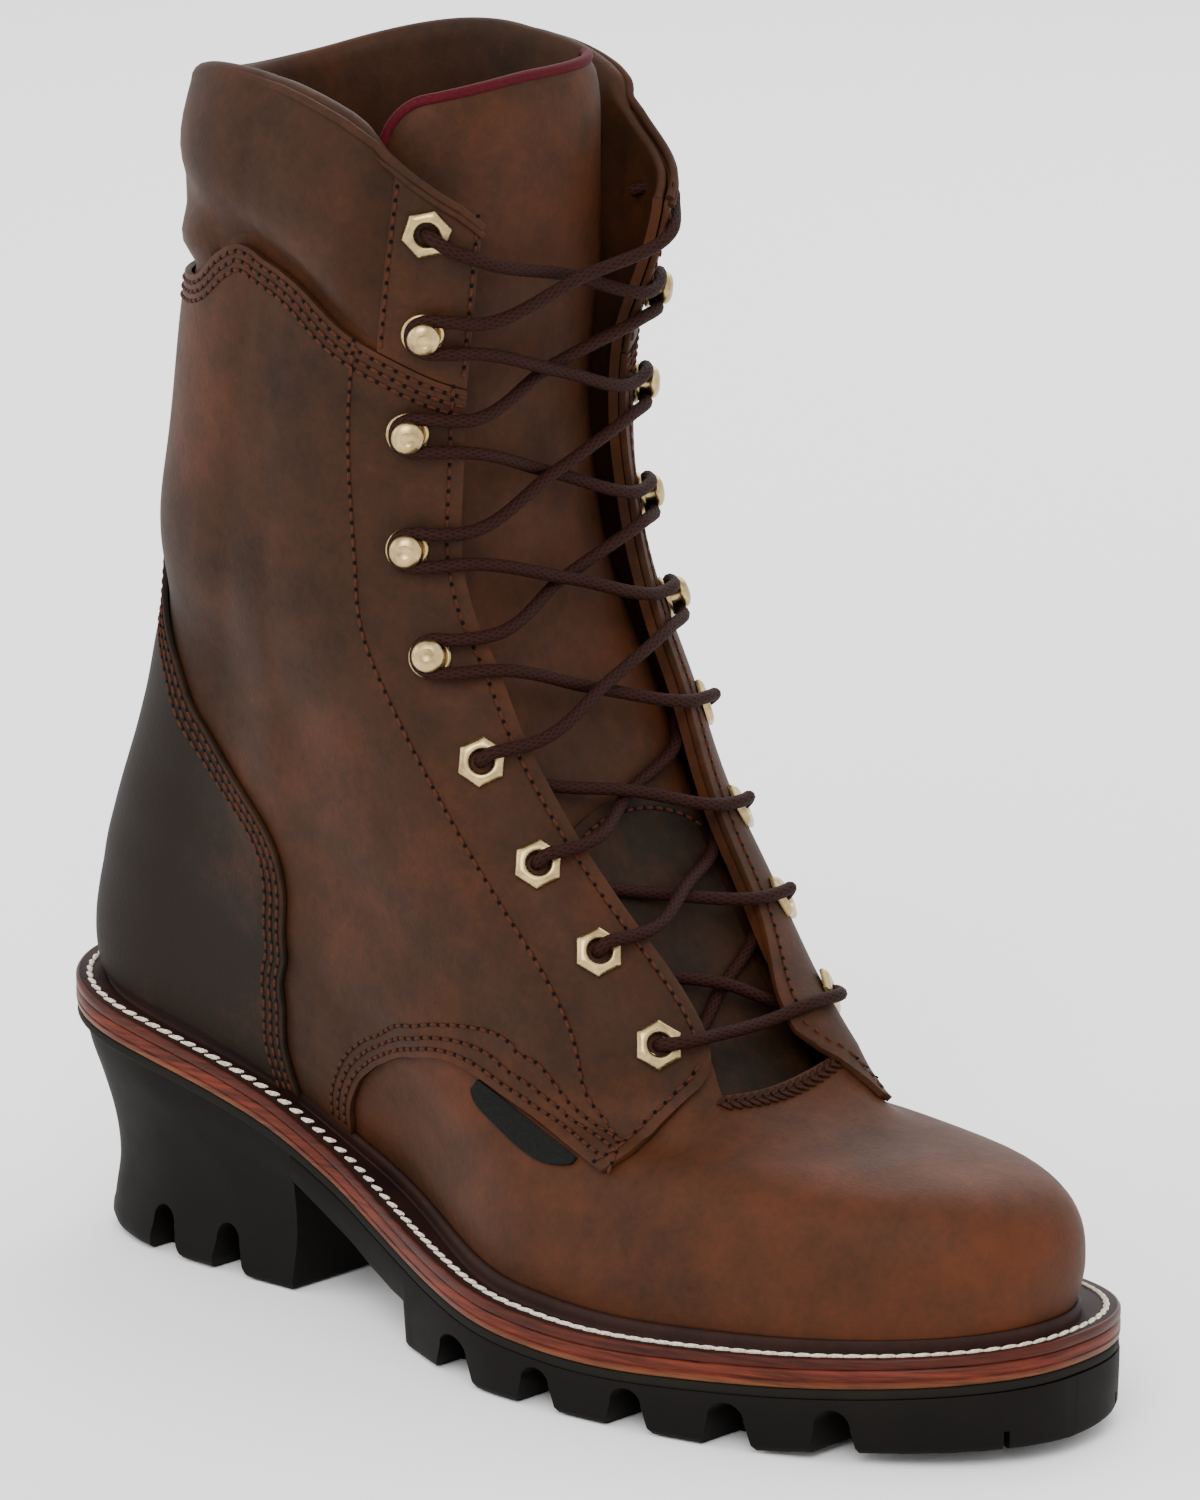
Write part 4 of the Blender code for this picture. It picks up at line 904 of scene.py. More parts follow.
def shaft_rows():
    """Rows from the feather to the top: a kind and a share of the way through it."""
    rows = [("low", 0.0)]
    for kind, count in (("low", LOW_ROWS), ("shaft", SHAFT_ROWS), ("collar", COLLAR_ROWS)):
        rows += [(kind, share) for share in np.linspace(0, 1, count + 1)[1:]]
    return rows


def row_level(kind, share, column):
    """Level of a row at a column."""
    seam = read_line(COLLAR_SEAM, column)
    if kind == "low":
        return np.full(np.shape(column), THROAT_BASE * share)
    if kind == "shaft":
        return THROAT_BASE + (seam - THROAT_BASE) * share
    return seam + (top_level(column) - seam) * share


def top_level(column):
    """Level of the collar's and facing's top at a column."""
    return 1 - straight_line(TOP_DROP, column)


def collar_fade(column):
    """1 on the padded collar, 0 on the flat facing in front of it."""
    return ease((column - FACING_REAR - .005) / .07)


PUFF_SHARES = [0, .05, .12, .22, .40, .62, .82, 1]
PUFF_OUTER = [-.26, .06, .52, .88, 1.10, 1.12, .98, .62]
PUFF_INNER = [.10, .18, .35, .60, .95, 1.15, 1.0, .55]


def collar_swell(share, column, level, turn):
    """Outward and inward padding of the collar."""
    fade = collar_fade(column)
    outer, inner = smooth(PUFF_SHARES, list(zip(PUFF_OUTER, PUFF_INNER)), share)
    crumple = pressed(level, turn, COLLAR_FOLDS) * ease(share / .2)
    outer = (outer * sizes().collar_padding + crumple) * fade
    return outer, inner * (COLLAR_INSIDE - WALL) * fade


def collar_crest(column):
    """Height of the rounded crest over the collar's and the facing's top."""
    return .0042 * (.22 + .78 * collar_fade(column))


def upper_sheets(column, side, front_share):
    """Rows of outer and inner points from the feather to the top, with the leather's tone."""
    outer, inner, tone = [], [], []
    for kind, share in shaft_rows():
        level = row_level(kind, share, column)
        turn = np.where(side == 0, throat_edge(level) * front_share, turn_of(column, level, side))
        lift, depth = np.zeros(len(column)), np.full(len(column), -WALL)
        if kind == "shaft":
            lift = lift - .0008 * ease((share - .97) / .03) * collar_fade(column)
        if kind == "collar":
            lift, pad = collar_swell(share, column, level, turn)
            depth = depth - pad
        outer.append(FORM.at(level, turn, lift))
        inner.append(FORM.at(level, turn, depth))
        tone.append(tone_of(level, turn))
    return outer, inner, tone


def make_upper():
    """Vamp, inner shaft and padded collar, hollow, with the lining inside."""
    half = np.linspace(0, 1, 141)
    front = np.linspace(-1, 1, 17)[1:-1]
    none = np.zeros(len(front))
    column = np.concatenate([half[::-1], none, half[:-1]])
    side = np.concatenate([-np.ones(len(half)), none, np.ones(len(half) - 1)])
    front_share = np.concatenate([0 * half, front, 0 * half[:-1]])
    outer, inner, tone = upper_sheets(column, side, front_share)
    middle, reach = (outer[-1] + inner[-1]) / 2, (outer[-1] - inner[-1]) / 2
    crest = []
    for angle in np.linspace(0, math.pi, CREST_ROWS + 2)[1:-1]:
        place = middle + reach * math.cos(angle)
        place[:, 2] += collar_crest(column) * math.sin(angle)
        crest.append(place)
    sheets = outer + crest + inner[::-1]
    tone += [tone[-1]] * CREST_ROWS + tone[::-1]
    count, last = len(column), len(sheets) - 1
    crest_end = len(outer) + CREST_ROWS
    first_front, last_front = len(half), len(half) + len(front) - 1
    faces, slots = [], []
    for i in range(last):
        slot = 0 if i < LOW_ROWS + SHAFT_ROWS else 1 if i < crest_end - 3 else 2
        for j in range(count):
            k = (j + 1) % count
            if LOW_ROWS <= i < last - LOW_ROWS and first_front - 1 <= j <= last_front:
                continue
            faces.append([i * count + j, i * count + k, (i + 1) * count + k, (i + 1) * count + j])
            slots.append(slot)
    for j in range(count):
        k = (j + 1) % count
        faces.append([last * count + j, last * count + k, k, j])
        slots.append(2)
    low, high = LOW_ROWS * count, (last - LOW_ROWS) * count
    for j in range(first_front - 1, last_front + 1):
        faces.append([high + j, high + j + 1, low + j + 1, low + j])
        slots.append(0)
    for edge, step in ((first_front - 1, 1), (last_front + 1, -1)):
        for i in range(LOW_ROWS, len(outer) - 1):
            strip = [i, i + 1, last - i - 1, last - i]
            faces.append([row * count + edge for row in strip][::step])
            slots.append(0)
        faces.append([i * count + edge for i in range(len(outer) - 1, crest_end + 1)][::step])
        slots.append(1)
    obj = mesh_object("boot_upper", np.concatenate(sheets), faces, material_of("vamp"))
    obj.data.materials.append(material_of("collar"))
    obj.data.materials.append(material_of("lining"))
    obj.data.polygons.foreach_set("material_index", slots)
    set_value(obj, "tone", np.concatenate(tone))
    clean_up(obj)
    return finish_piece(obj, "leather", "upper")


def make_collar_edge(sign, side):
    """Two rolled edges along the top of the facing and the collar's front."""
    column = np.linspace(0, .60, 120)
    top = top_level(column)
    turn = turn_of(column, top, sign)
    swell, pad = collar_swell(1, column, top, turn)
    outer = FORM.at(top, turn, np.maximum(swell, QUARTER_TOP * (1 - collar_fade(column))))
    normal = FORM.normal(top, turn)
    first = outer - normal * (.0002 + .0019 * ease((column - .22) / .38))[:, None]
    first[:, 2] += .55 * collar_crest(column)
    second = outer + normal * (.0002 - .0020 * ease((column - .10) / .20))[:, None]
    second[:, 2] -= .0013
    second = second[column < .31]
    for name, path, count, radius, tone in (("edge", first, 170, .0011, .05),
                                            ("roll", second, 110, .0009, -.05)):
        tube = tube_object("boot_collar_%s_%s" % (name, side), smooth_path(path[::3], count),
                           radius, material_of("quarter"))
        set_value(tube, "tone", np.full(len(tube.data.vertices), tone))
        finish_piece(tube, "leather")


def quarter_turn(column, level, sign):
    """Turn on a quarter; on the medial side its lower front reaches over the vamp."""
    column, level = np.broadcast_arrays(column, level)
    if sign > 0:
        reach = MEDIAL_FRONT[0].turn
        ahead = reach * ease((.510 - level) / .085)
        share = np.clip((column - reach) / (.115 - reach), 0, 1)
        column = np.where(column < .115, ahead + (.115 - ahead) * share, column)
    return turn_of(column, level, sign)


def quarter_low(column, sign):
    """Level of a quarter's lower edge at a column."""
    if sign < 0:
        return wing_level(column)
    return np.where(column < WING_FRONT[-1].turn, straight_line(MEDIAL_FRONT, column),
                    wing_level(column))


def over_ridge(turn):
    """Level just over the welt's storm ridge."""
    return FORM.level_over_welt(sizes().ridge_height + .0004, turn)


def make_quarter(sign, side):
    """Outer quarter with its eyestay flap and pointed wing."""
    front = [0, .004, .012, .024, .115, .252] if sign < 0 else [p.turn for p in MEDIAL_FRONT]
    columns = even_columns(front + [.285, .353, .64, .9985], .0085)
    columns = np.unique(np.concatenate([columns, np.linspace(.256, .310, 16),
                                        np.linspace(.570, .630, 26)]))
    low = np.maximum(quarter_low(columns, sign), over_ridge(quarter_turn(columns, 0, sign)))
    high = read_line(COLLAR_SEAM, np.maximum(columns, 0)) - QUARTER_DROP
    base = np.maximum(THROAT_BASE, low + .012)
    shares = np.linspace(0, 1, 25)[:, None]
    levels = np.concatenate([low + (base - low) * shares,
                             (base + (high - base) * np.linspace(0, 1, 73)[:, None])[1:]])
    turns = quarter_turn(columns[None, :], levels, sign)
    obj = overlay("boot_quarter_" + side, levels, turns, SEAT, QUARTER_THICKNESS,
                  material_of("quarter"))
    return finish_piece(obj, "leather", "quarter_" + side)


# Below this level the counter's edge runs straight down
COUNTER_BREAK = .12


def counter_edge(level):
    """Turn of the counter's front edge, softened."""
    level = np.asarray(level, float)
    return sum(read_edge(COUNTER_EDGE, level + step) for step in np.linspace(-.03, .03, 9)) / 9


def counter_turn(level, across):
    """Turn on the counter; across runs from -1 at its lateral edge to 1 at its medial edge."""
    edge = counter_edge(level)
    turn = np.sign(across) * (1 - (1 - edge) * np.abs(across))
    return np.where(across == 0, 1.0, turn)


def make_counter():
    """Heel counter with its narrow backstay."""
    across = np.linspace(-1, 1, 69)
    foot_turn = counter_turn(COUNTER_BREAK, across)
    foot = over_ridge(foot_turn)
    top = float(read_line(COLLAR_SEAM, 1)) - QUARTER_DROP
    breaks = [COUNTER_BREAK, .255, .393, .468, .505, .527, .547, .585, .63, .672, .71, .76, top]
    upper_levels = even_columns(breaks, .0075)
    rows = [foot + (COUNTER_BREAK - foot) * share for share in np.linspace(0, 1, 12)[:-1]]
    rows += [np.full(len(across), level) for level in upper_levels]
    levels = np.array(rows)
    turns = np.where(levels < COUNTER_BREAK, foot_turn, counter_turn(levels, across))
    obj = overlay("boot_counter", levels, turns, QUARTER_TOP + SEAT, COUNTER_THICKNESS,
                  material_of("counter"))
    return finish_piece(obj, "dark_leather", "counter")


def make_facing(sign, side):
    """Facing strip at the top of the eyestay."""
    columns = np.linspace(0, FACING_REAR, 22)
    low = read_line(COLLAR_SEAM, columns) - .0036
    high = top_level(columns) - .0015
    levels = low + (high - low) * np.linspace(0, 1, 17)[:, None]
    turns = turn_of(columns[None, :], levels, sign)
    obj = overlay("boot_facing_" + side, levels, turns, SEAT, QUARTER_THICKNESS,
                  material_of("quarter"))
    return finish_piece(obj, "leather", "facing_" + side)


def make_tab():
    """Bare black cloth tab on the vamp, along the lower edge of the lateral wing."""
    columns = np.linspace(.2625, .312, 41)
    edge = column_line(columns, wing_level(columns), -1)
    across = np.linspace(0, 1, 11)
    along = np.linspace(-1, 1, len(columns))
    end = .30 + .70 * np.sqrt(np.maximum(1 - np.abs(along) ** 5, 0))
    deep = .0050 + .0012 * (along + 1) / 2
    near = offset_line(edge, .0008)
    far = offset_line(edge, .0008 + deep * end)
    far = np.column_stack([np.polyval(np.polyfit(along, part, 4), along) for part in far.T])
    grid = near + (far - near) * across[:, None, None]
    obj = overlay("boot_side_tab", grid[..., 1], grid[..., 0], HAIR, .0009, material_of("tab"))
    return finish_piece(obj, "tab", "side_tab")


def tongue_sheets():
    """Outer and inner sheets of the tongue, rows from the toe end up."""
    given = [r[1:] for r in TONGUE_ROWS]
    levels = np.linspace(.355, .94, 76)
    shapes = smooth([r.level for r in TONGUE_ROWS], given, levels)
    across = np.linspace(-1, 1, 45)
    edge = np.sqrt(np.maximum(1 - np.abs(across) ** 5, 0)) * .8 + .2
    outer, inner = [], []
    for level, (half_turn, depth, pad) in zip(levels, shapes):
        turn = half_turn * across
        thick = (TONGUE_THICKNESS + pad * sizes().tongue_padding) * edge
        trim = .0012 * (1 - edge)
        outer.append(FORM.at(np.full(45, level), turn, -depth - trim, folds=False))
        inner.append(FORM.at(np.full(45, level), turn, -depth - thick, folds=False))
    last_outer, last_inner = outer[-1], inner[-1]
    rise = TONGUE_TOP - last_outer[:, 2]
    middle = (last_outer + last_inner) / 2
    start = np.where(across < 0, .70, .88)
    corner = np.maximum(np.abs(across) - start, 0) / (1 - start)
    drop = (1 - np.sqrt(np.maximum(1 - corner ** 2.2, 0))) * np.where(across < 0, .011, .004)
    drop = drop + .0045 * np.maximum(-across, 0) ** 1.3
    for share in np.linspace(0, 1, 15)[1:]:
        close = math.sqrt(max(1 - max(0, (share - .72) / .28) ** 2, 0))
        for rows, last in ((outer, last_outer), (inner, last_inner)):
            place = middle + (last - middle) * max(close, .12)
            place[:, 2] = last_outer[:, 2] + (rise - drop) * share
            rows.append(place)
    return np.array(outer), np.array(inner)


def make_tongue():
    """Padded tongue and the piping round its top edge."""
    outer, inner = tongue_sheets()
    points, faces = closed_sheets(outer, inner)
    obj = mesh_object("boot_tongue", points, faces, material_of("tongue"))
    set_value(obj, "tone", np.zeros(len(points)))
    clean_up(obj)
    finish_piece(obj, "leather", "tongue")
    middle = (outer[-1] + inner[-1]) / 2
    path = np.concatenate([outer[-8:, 0], middle[1:-1], outer[-8:, -1][::-1]])
    piping = tube_object("boot_tongue_piping", smooth_path(path, 150), sizes().piping_radius,
                         material_of("piping"))
    return finish_piece(piping, "lining")


def tongue_depth(level):
    """Depth of the tongue's outer face under the form at a level."""
    return smooth([r.level for r in TONGUE_ROWS], [r.depth for r in TONGUE_ROWS], level)


def patch_top(share):
    """Level of the tongue patch's curved top edge, at a share from its middle to its side."""
    return .572 + .020 * (1 - np.asarray(share) ** 2)


def make_tongue_patch():
    """Dark patch sewn on the tongue's lower part, with a curved top edge."""
    shares = np.linspace(-1, 1, 31)
    top = patch_top(shares)
    levels = .405 + (top - .405) * np.linspace(0, 1, 61)[:, None]
    turns = (throat_edge(levels) + .006) * shares
    lift = HAIR - tongue_depth(levels)
    obj = overlay("boot_tongue_patch", levels, turns, lift, PATCH_THICKNESS, material_of("patch"),
                  folds=False)
    return finish_piece(obj, "dark_leather", "tongue_patch")


TUBE_SIDES = 10


def tube_object(name, path, radius, material, pitch=0.0):
    """A closed tube along a path, with a braid map if it has a pitch."""
    path = np.asarray(path, float)
    tangent = np.gradient(path, axis=0)
    tangent /= np.linalg.norm(tangent, axis=1, keepdims=True)
    side = np.cross(tangent[0], [0, 0, 1])
    if np.linalg.norm(side) < .1:
        side = np.cross(tangent[0], [0, 1, 0])
    frames = []
    for t in tangent:
        side = side - t * np.dot(side, t)
        side = side / np.linalg.norm(side)
        frames.append((side, np.cross(t, side)))
    angles = np.linspace(0, 2 * math.pi, TUBE_SIDES, endpoint=False)
    points = [p + radius * (math.cos(a) * u + math.sin(a) * v)
              for p, (u, v) in zip(path, frames) for a in angles]
    obj = mesh_object(name, points, capped_rings(len(path), TUBE_SIDES), material)
    if pitch:
        run = run_along(path)
        values = []
        for face in obj.data.polygons:
            places = [divmod(corner, TUBE_SIDES) for corner in face.vertices]
            spokes = [spoke for ring, spoke in places]
            wraps = max(spokes) - min(spokes) > 1 and len(places) == 4
            for ring, spoke in places:
                around = spoke + TUBE_SIDES if wraps and spoke == 0 else spoke
                values += [around / TUBE_SIDES, run[ring] / pitch]
        obj.data.uv_layers.new(name="braid").data.foreach_set("uv", values)
    clean_up(obj)
    return obj


def make_insole():
    """Insole inside the upper's wall."""
    across = np.linspace(0, 1, 11)[:, None]
    rows = []
    for turn in np.linspace(0, 1, 81):
        a, b = (FORM.at(FORM.level_over_welt(.0055, sign * turn), sign * turn, -WALL - .0003)
                for sign in (-1, 1))
        rows.append(a + (b - a) * across)
    top = np.array(rows)
    points, faces = closed_sheets(top, top - np.array([0, 0, .0035]))
    obj = mesh_object("boot_insole", points, faces, material_of("insole"))
    clean_up(obj, DOUBLED)
    return finish_piece(obj, "lining", "insole")


def sole_outline(turns):
    """The sole's outline and its outward direction at turns, as x and y."""
    share = (1 + np.cos(np.linspace(0, math.pi, 1201))) / 2
    halves = {}
    for sign, side in ((-1, SOLE_LATERAL), (1, SOLE_MEDIAL)):
        half = np.column_stack([SOLE_LENGTH * share, sign * BALL_WIDTH * half_width(share, side)])
        halves[sign] = arc_share(half, np.linspace(0, 1, 1201))
    loop = np.concatenate([halves[-1][::-1], halves[1][1:-1]])
    along = np.roll(loop, -1, axis=0) - np.roll(loop, 1, axis=0)
    out = np.column_stack([-along[:, 1], along[:, 0]])
    out /= np.linalg.norm(out, axis=1, keepdims=True)
    where = (np.asarray(turns) + 1) * 1200
    low = np.floor(where).astype(int)
    f = (where - low)[:, None]
    low, high = low % len(loop), (low + 1) % len(loop)
    place = loop[low] * (1 - f) + loop[high] * f
    direction = out[low] * (1 - f) + out[high] * f
    centre = np.array([SOLE_LENGTH * .5, 0])
    if np.dot(direction[len(direction) // 2], place[len(place) // 2] - centre) < 0:
        direction = -direction
    return place, direction / np.linalg.norm(direction, axis=1, keepdims=True)


RING_COUNT = 480


def ring_turns():
    """Turns round the sole, from the back's middle by the lateral side."""
    return np.linspace(-1, 1, RING_COUNT, endpoint=False)


def outline_loops(profile):
    """Rings of points at insets off the sole's outline and depths under the welt's top."""
    place, out = sole_outline(ring_turns())
    top = welt_top(place[:, 0])
    return [np.column_stack([place - out * inset, top - depth]) for inset, depth in profile]


def layer_object(name, profile, material, bands=None):
    """A layer of the sole, from insets off the outline and depths under the welt's top."""
    loops = outline_loops(profile)
    rows = len(loops)
    faces = ring_faces(rows, RING_COUNT)
    for base in (0, (rows - 1) * RING_COUNT):
        for k in range(RING_COUNT // 2):
            strip = [base + k, base + k + 1, base + (RING_COUNT - k - 1) % RING_COUNT,
                     base + (RING_COUNT - k) % RING_COUNT]
            strip = list(dict.fromkeys(strip))
            if len(strip) > 2:
                faces.append(strip)
    obj = mesh_object(name, np.concatenate(loops), faces, material)
    if bands:
        set_value(obj, "band", np.repeat(bands, RING_COUNT))
    clean_up(obj)
    return obj


UNDER_WELT = WELT_THICKNESS
UNDER_MIDSOLE = UNDER_WELT + MIDSOLE_THICKNESS
UNDER_SLIP = UNDER_MIDSOLE + SLIP_THICKNESS


def make_midsole():
    """Leather midsole with a rounded top edge, a fine groove and a tan lower band."""
    top = UNDER_WELT + LAYER_GAP
    profile = [(.0030, top), (.0006, top), (.0002, top + .0004), (0, top + .0010),
               (0, top + .0022), (.0003, top + .0024), (.0003, top + .0027), (0, top + .0029),
               (.0001, top + .0034), (.0002, UNDER_MIDSOLE - .0004), (.0006, UNDER_MIDSOLE),
               (.0030, UNDER_MIDSOLE)]
    bands = [1, .95, .9, .8, .6, .45, .38, .30, .15, 0, 0, 0]
    obj = layer_object("boot_midsole", profile, material_of("midsole"), bands)
    return finish_piece(obj, "midsole", "midsole")


def make_slip():
    """Thin slip sole between the midsole and the rubber."""
    top = UNDER_MIDSOLE + LAYER_GAP
    profile = [(.0030, top), (.0008, top), (.0004, top + .0004), (.0003, UNDER_SLIP - .0005),
               (.0007, UNDER_SLIP), (.0030, UNDER_SLIP)]
    obj = layer_object("boot_slip_sole", profile, material_of("slip"))
    return finish_piece(obj, "slip", "slip_sole")


def welt_lip(turn):
    """Foot and top of the upper's face behind the welt at turns."""
    foot = FORM.at(0, turn, folds=False)
    foot[:, 2] = welt_top(foot[:, 0])
    level = FORM.level_over_welt(sizes().ridge_height, turn)
    top = FORM.at(level, turn)
    return foot, top


def make_welt():
    """Leather welt with a rounded storm ridge against the upper."""
    turns = ring_turns()
    place, out = sole_outline(turns)
    foot, top = welt_lip(turns)
    outward = FORM.normal(.03, turns) * np.array([1, 1, 0])
    outward /= np.linalg.norm(outward, axis=1, keepdims=True)
    edge = [(.0014, WELT_THICKNESS), (.0004, WELT_THICKNESS), (0, WELT_THICKNESS - .0005),
            (0, .0006), (.0003, .0001), (.0008, -.0001)]
    loops = outline_loops(edge)
    ridge = [(1.30, .02), (1.10, .10), (.98, .34), (.88, .62), (.66, .86), (.38, .98), (.10, 1.0)]
    reach = np.linalg.norm((place - foot[:, :2]), axis=1)
    storm = np.minimum(sizes().ridge_thickness, np.maximum(reach - .0042, .0010) / 1.3)[:, None]
    flat = foot + outward * storm * 1.55
    flat[:, 2] = welt_top(flat[:, 0])
    inside = foot - outward * .0045
    loops.append(flat)
    loops += [foot + (top - foot) * rise + outward * (storm * thick) for thick, rise in ridge]
    loops += [inside, inside - np.array([0, 0, WELT_THICKNESS])]
    rows = len(loops)
    points = np.concatenate(loops)
    obj = mesh_object("boot_welt", points, ring_faces(rows, RING_COUNT, True), material_of("welt"))
    obj.data.materials.append(material_of("welt_edge"))
    slots = np.zeros((rows, RING_COUNT), int)
    slots[:len(edge) - 1] = 1
    slots[-1] = 1
    obj.data.polygons.foreach_set("material_index", slots.ravel())
    set_value(obj, "band", np.full(len(points), 1.0))
    clean_up(obj)
    return finish_piece(obj, "dark_leather", "welt")


def prism(profile, near, far):
    """Points and faces of a closed prism of an (x, z) profile between two y values."""
    points = [(x, y, z) for y in (near, far) for x, z in profile]
    return points, capped_rings(2, len(profile))


def bar_cut(start, end, width, top):
    """Points and faces of a groove along the ground between two (share of length, y) places."""
    start, end = (np.array([share * SOLE_LENGTH, y]) for share, y in (start, end))
    along = (end - start) / np.linalg.norm(end - start)
    side = np.array([-along[1], along[0]])
    shape = [(-.5 * width, -BELOW_GROUND), (.5 * width, -BELOW_GROUND), (.42 * width, top),
             (-.42 * width, top)]
    points = [tuple(place + side * a) + (z,) for place in (start, end) for a, z in shape]
    return points, capped_rings(2, len(shape))


def cut_all(obj, cutters):
    """Cut a list of (points, faces) solids out of an object."""
    for points, faces in cutters:
        cutter = mesh_object("cutter", points, faces, obj.data.materials[0], False)
        clean_up(cutter)
        step = obj.modifiers.new("cut", "BOOLEAN")
        step.operation = "DIFFERENCE"
        step.solver = "MANIFOLD"
        step.object = cutter
        obj = apply_modifiers(obj)
        mesh = cutter.data
        bpy.data.objects.remove(cutter)
        bpy.data.meshes.remove(mesh)
    return obj


def slot_shape(slot, height):
    """Slot profile: straight feet, walls that lean in, and a rounded top."""
    rear, front = slot.rear * SOLE_LENGTH, slot.front * SOLE_LENGTH
    width, middle = front - rear, (front + rear) / 2
    shape = [(rear - .0006, -BELOW_GROUND), (front + .0006, -BELOW_GROUND),
             (front + .0006, 0), (front - .05 * width, .18 * height),
             (front - .17 * width, .66 * height)]
    for angle in np.linspace(.15, math.pi - .15, 9):
        shape.append((middle + .34 * width * math.cos(angle),
                      (.66 + .34 * math.sin(angle)) * height))
    shape += [(rear + .17 * width, .66 * height), (rear + .05 * width, .18 * height),
              (rear - .0006, 0)]
    return shape


def side_slots(slots, height, depth):
    """Prisms for the same slots in the lateral and the medial edge."""
    cutters = []
    for slot in slots:
        middle = (slot.rear + slot.front) / 2
        for sign, side in ((-1, SOLE_LATERAL), (1, SOLE_MEDIAL)):
            edge = sign * BALL_WIDTH * float(half_width(middle, side))
            near, far = sorted((edge - sign * depth, edge + sign * BALL_WIDTH * .2))
            cutters.append(prism(slot_shape(slot, slot.height * height), near, far))
    return cutters


OUTSOLE_START = (HEEL_LENGTH + .0004) / SOLE_LENGTH


def ground_line(x):
    """Underside of the forefoot sheet and lugs."""
    places = [OUTSOLE_START] + [row[0] for row in UNDERSIDE[1:]]
    return np.interp(x / SOLE_LENGTH, places, [row[1] * OUTSOLE_DEPTH for row in UNDERSIDE])


def make_outsole():
    """Lugged rubber forefoot with side slots, a middle channel and slanted bars under it."""
    even = (1 - np.cos(np.linspace(0, math.pi, 120))) / 2
    shares = np.unique(np.concatenate([OUTSOLE_START + (1 - OUTSOLE_START) * even,
                                       [row[0] for row in UNDERSIDE[1:-1]]]))
    shares = shares[shares >= OUTSOLE_START]
    shares[-1] = .9998
    points = []
    for share in shares:
        x = share * SOLE_LENGTH
        top = float(welt_top(x)) - UNDER_SLIP - LAYER_GAP
        low = float(ground_line(x))
        left = -BALL_WIDTH * float(half_width(share, SOLE_LATERAL))
        right = BALL_WIDTH * float(half_width(share, SOLE_MEDIAL))
        half, middle = (right - left) / 2, (right + left) / 2
        lean = min(.0016, .3 * (top - low))
        profile = [(.0006, top), (.0002, top - .0005), (.0003, top - .35 * (top - low)),
                   (.0007, low + lean), (.0016, low + .25 * lean), (.0030, low)]
        for sign, rim in ((-1, profile), (1, profile[::-1])):
            points += [(x, middle + sign * max(half - inset, half * .3), z) for inset, z in rim]
    rows, columns = len(shares), 2 * len(profile)
    faces = block_faces(rows, columns)
    faces.append(list(range(columns)))
    faces.append([(rows - 1) * columns + k for k in range(columns)][::-1])
    obj = mesh_object("boot_outsole", points, faces, material_of("rubber"))
    clean_up(obj, DOUBLED)
    cutters = side_slots(LUG_SLOTS, OUTSOLE_DEPTH, .0135)
    cutters.append(bar_cut((.470, -.001), (.875, .003), .0042, .0042))
    for share, reach in ((.590, .034), (.676, .036), (.760, .036), (.842, .030)):
        for sign in (-1, 1):
            cutters.append(bar_cut((share, sign * .006), (share - .040, sign * reach), .0034,
                                   .0036))
    for inner, outer in ((-.110, -.171), (.165, .250)):
        cutters.append(bar_cut((.962, inner * BALL_WIDTH), (1.002, outer * BALL_WIDTH), .0017,
                               .0085))
    return finish_piece(cut_all(obj, cutters), "rubber", "outsole")


HEEL_CURVE = .55
HEEL_ROUND = 2.3
BREAST_SLOPE = .003


def make_heel():
    """Heel block with a hollowed back, side slots and a grooved underside."""
    steps = 40
    heights = np.unique(np.concatenate([np.linspace(0, 1, 29), [.012, .03]]))
    insets = smooth([r.height for r in HEEL_ROWS], [r[1:] for r in HEEL_ROWS], heights)
    turns = np.concatenate([np.linspace(1, 0, steps), np.linspace(0, 1, steps)[1:]])
    points = []
    for height, (back, inset) in zip(heights, insets):
        softer = .0012 * max(0, 1 - height / .03) ** 2
        front = HEEL_LENGTH - BREAST_SLOPE * (1 - height) - softer
        back = back + softer
        for k, turn in enumerate(turns):
            share = 1 - math.cos(turn * math.pi / 2)
            lateral = k < steps
            side = SOLE_LATERAL if lateral else SOLE_MEDIAL
            width = side.heel * BALL_WIDTH - inset - softer
            bulge = float(rounded(1 - share / HEEL_CURVE, HEEL_ROUND))
            x = back + (front - back) * share
            sole_edge = BALL_WIDTH * float(half_width(x / SOLE_LENGTH, side)) - .0004
            y = min(width * bulge, sole_edge - .72 * inset) * (-1 if lateral else 1)
            points.append((x, y, height * (float(welt_top(x)) - UNDER_SLIP - LAYER_GAP)))
    columns = len(turns)
    rows = len(heights)
    faces = block_faces(rows, columns)
    for base in (0, (rows - 1) * columns):
        for k in range(steps - 1):
            strip = [base + k, base + k + 1, base + columns - 2 - k, base + columns - 1 - k]
            faces.append(list(dict.fromkeys(strip)))
    obj = mesh_object("boot_heel", points, faces, material_of("rubber"))
    clean_up(obj, DOUBLED)
    cutters = side_slots(HEEL_SLOTS, .0130, .0150)
    cutters.append(bar_cut((.085, 0), (.262, 0), .0042, .0036))
    for share in (.110, .186, .258):
        for sign in (-1, 1):
            cutters.append(bar_cut((share, sign * .006), (share - .022, sign * .022), .0032, .0030))
    return finish_piece(cut_all(obj, cutters), "rubber", "heel")


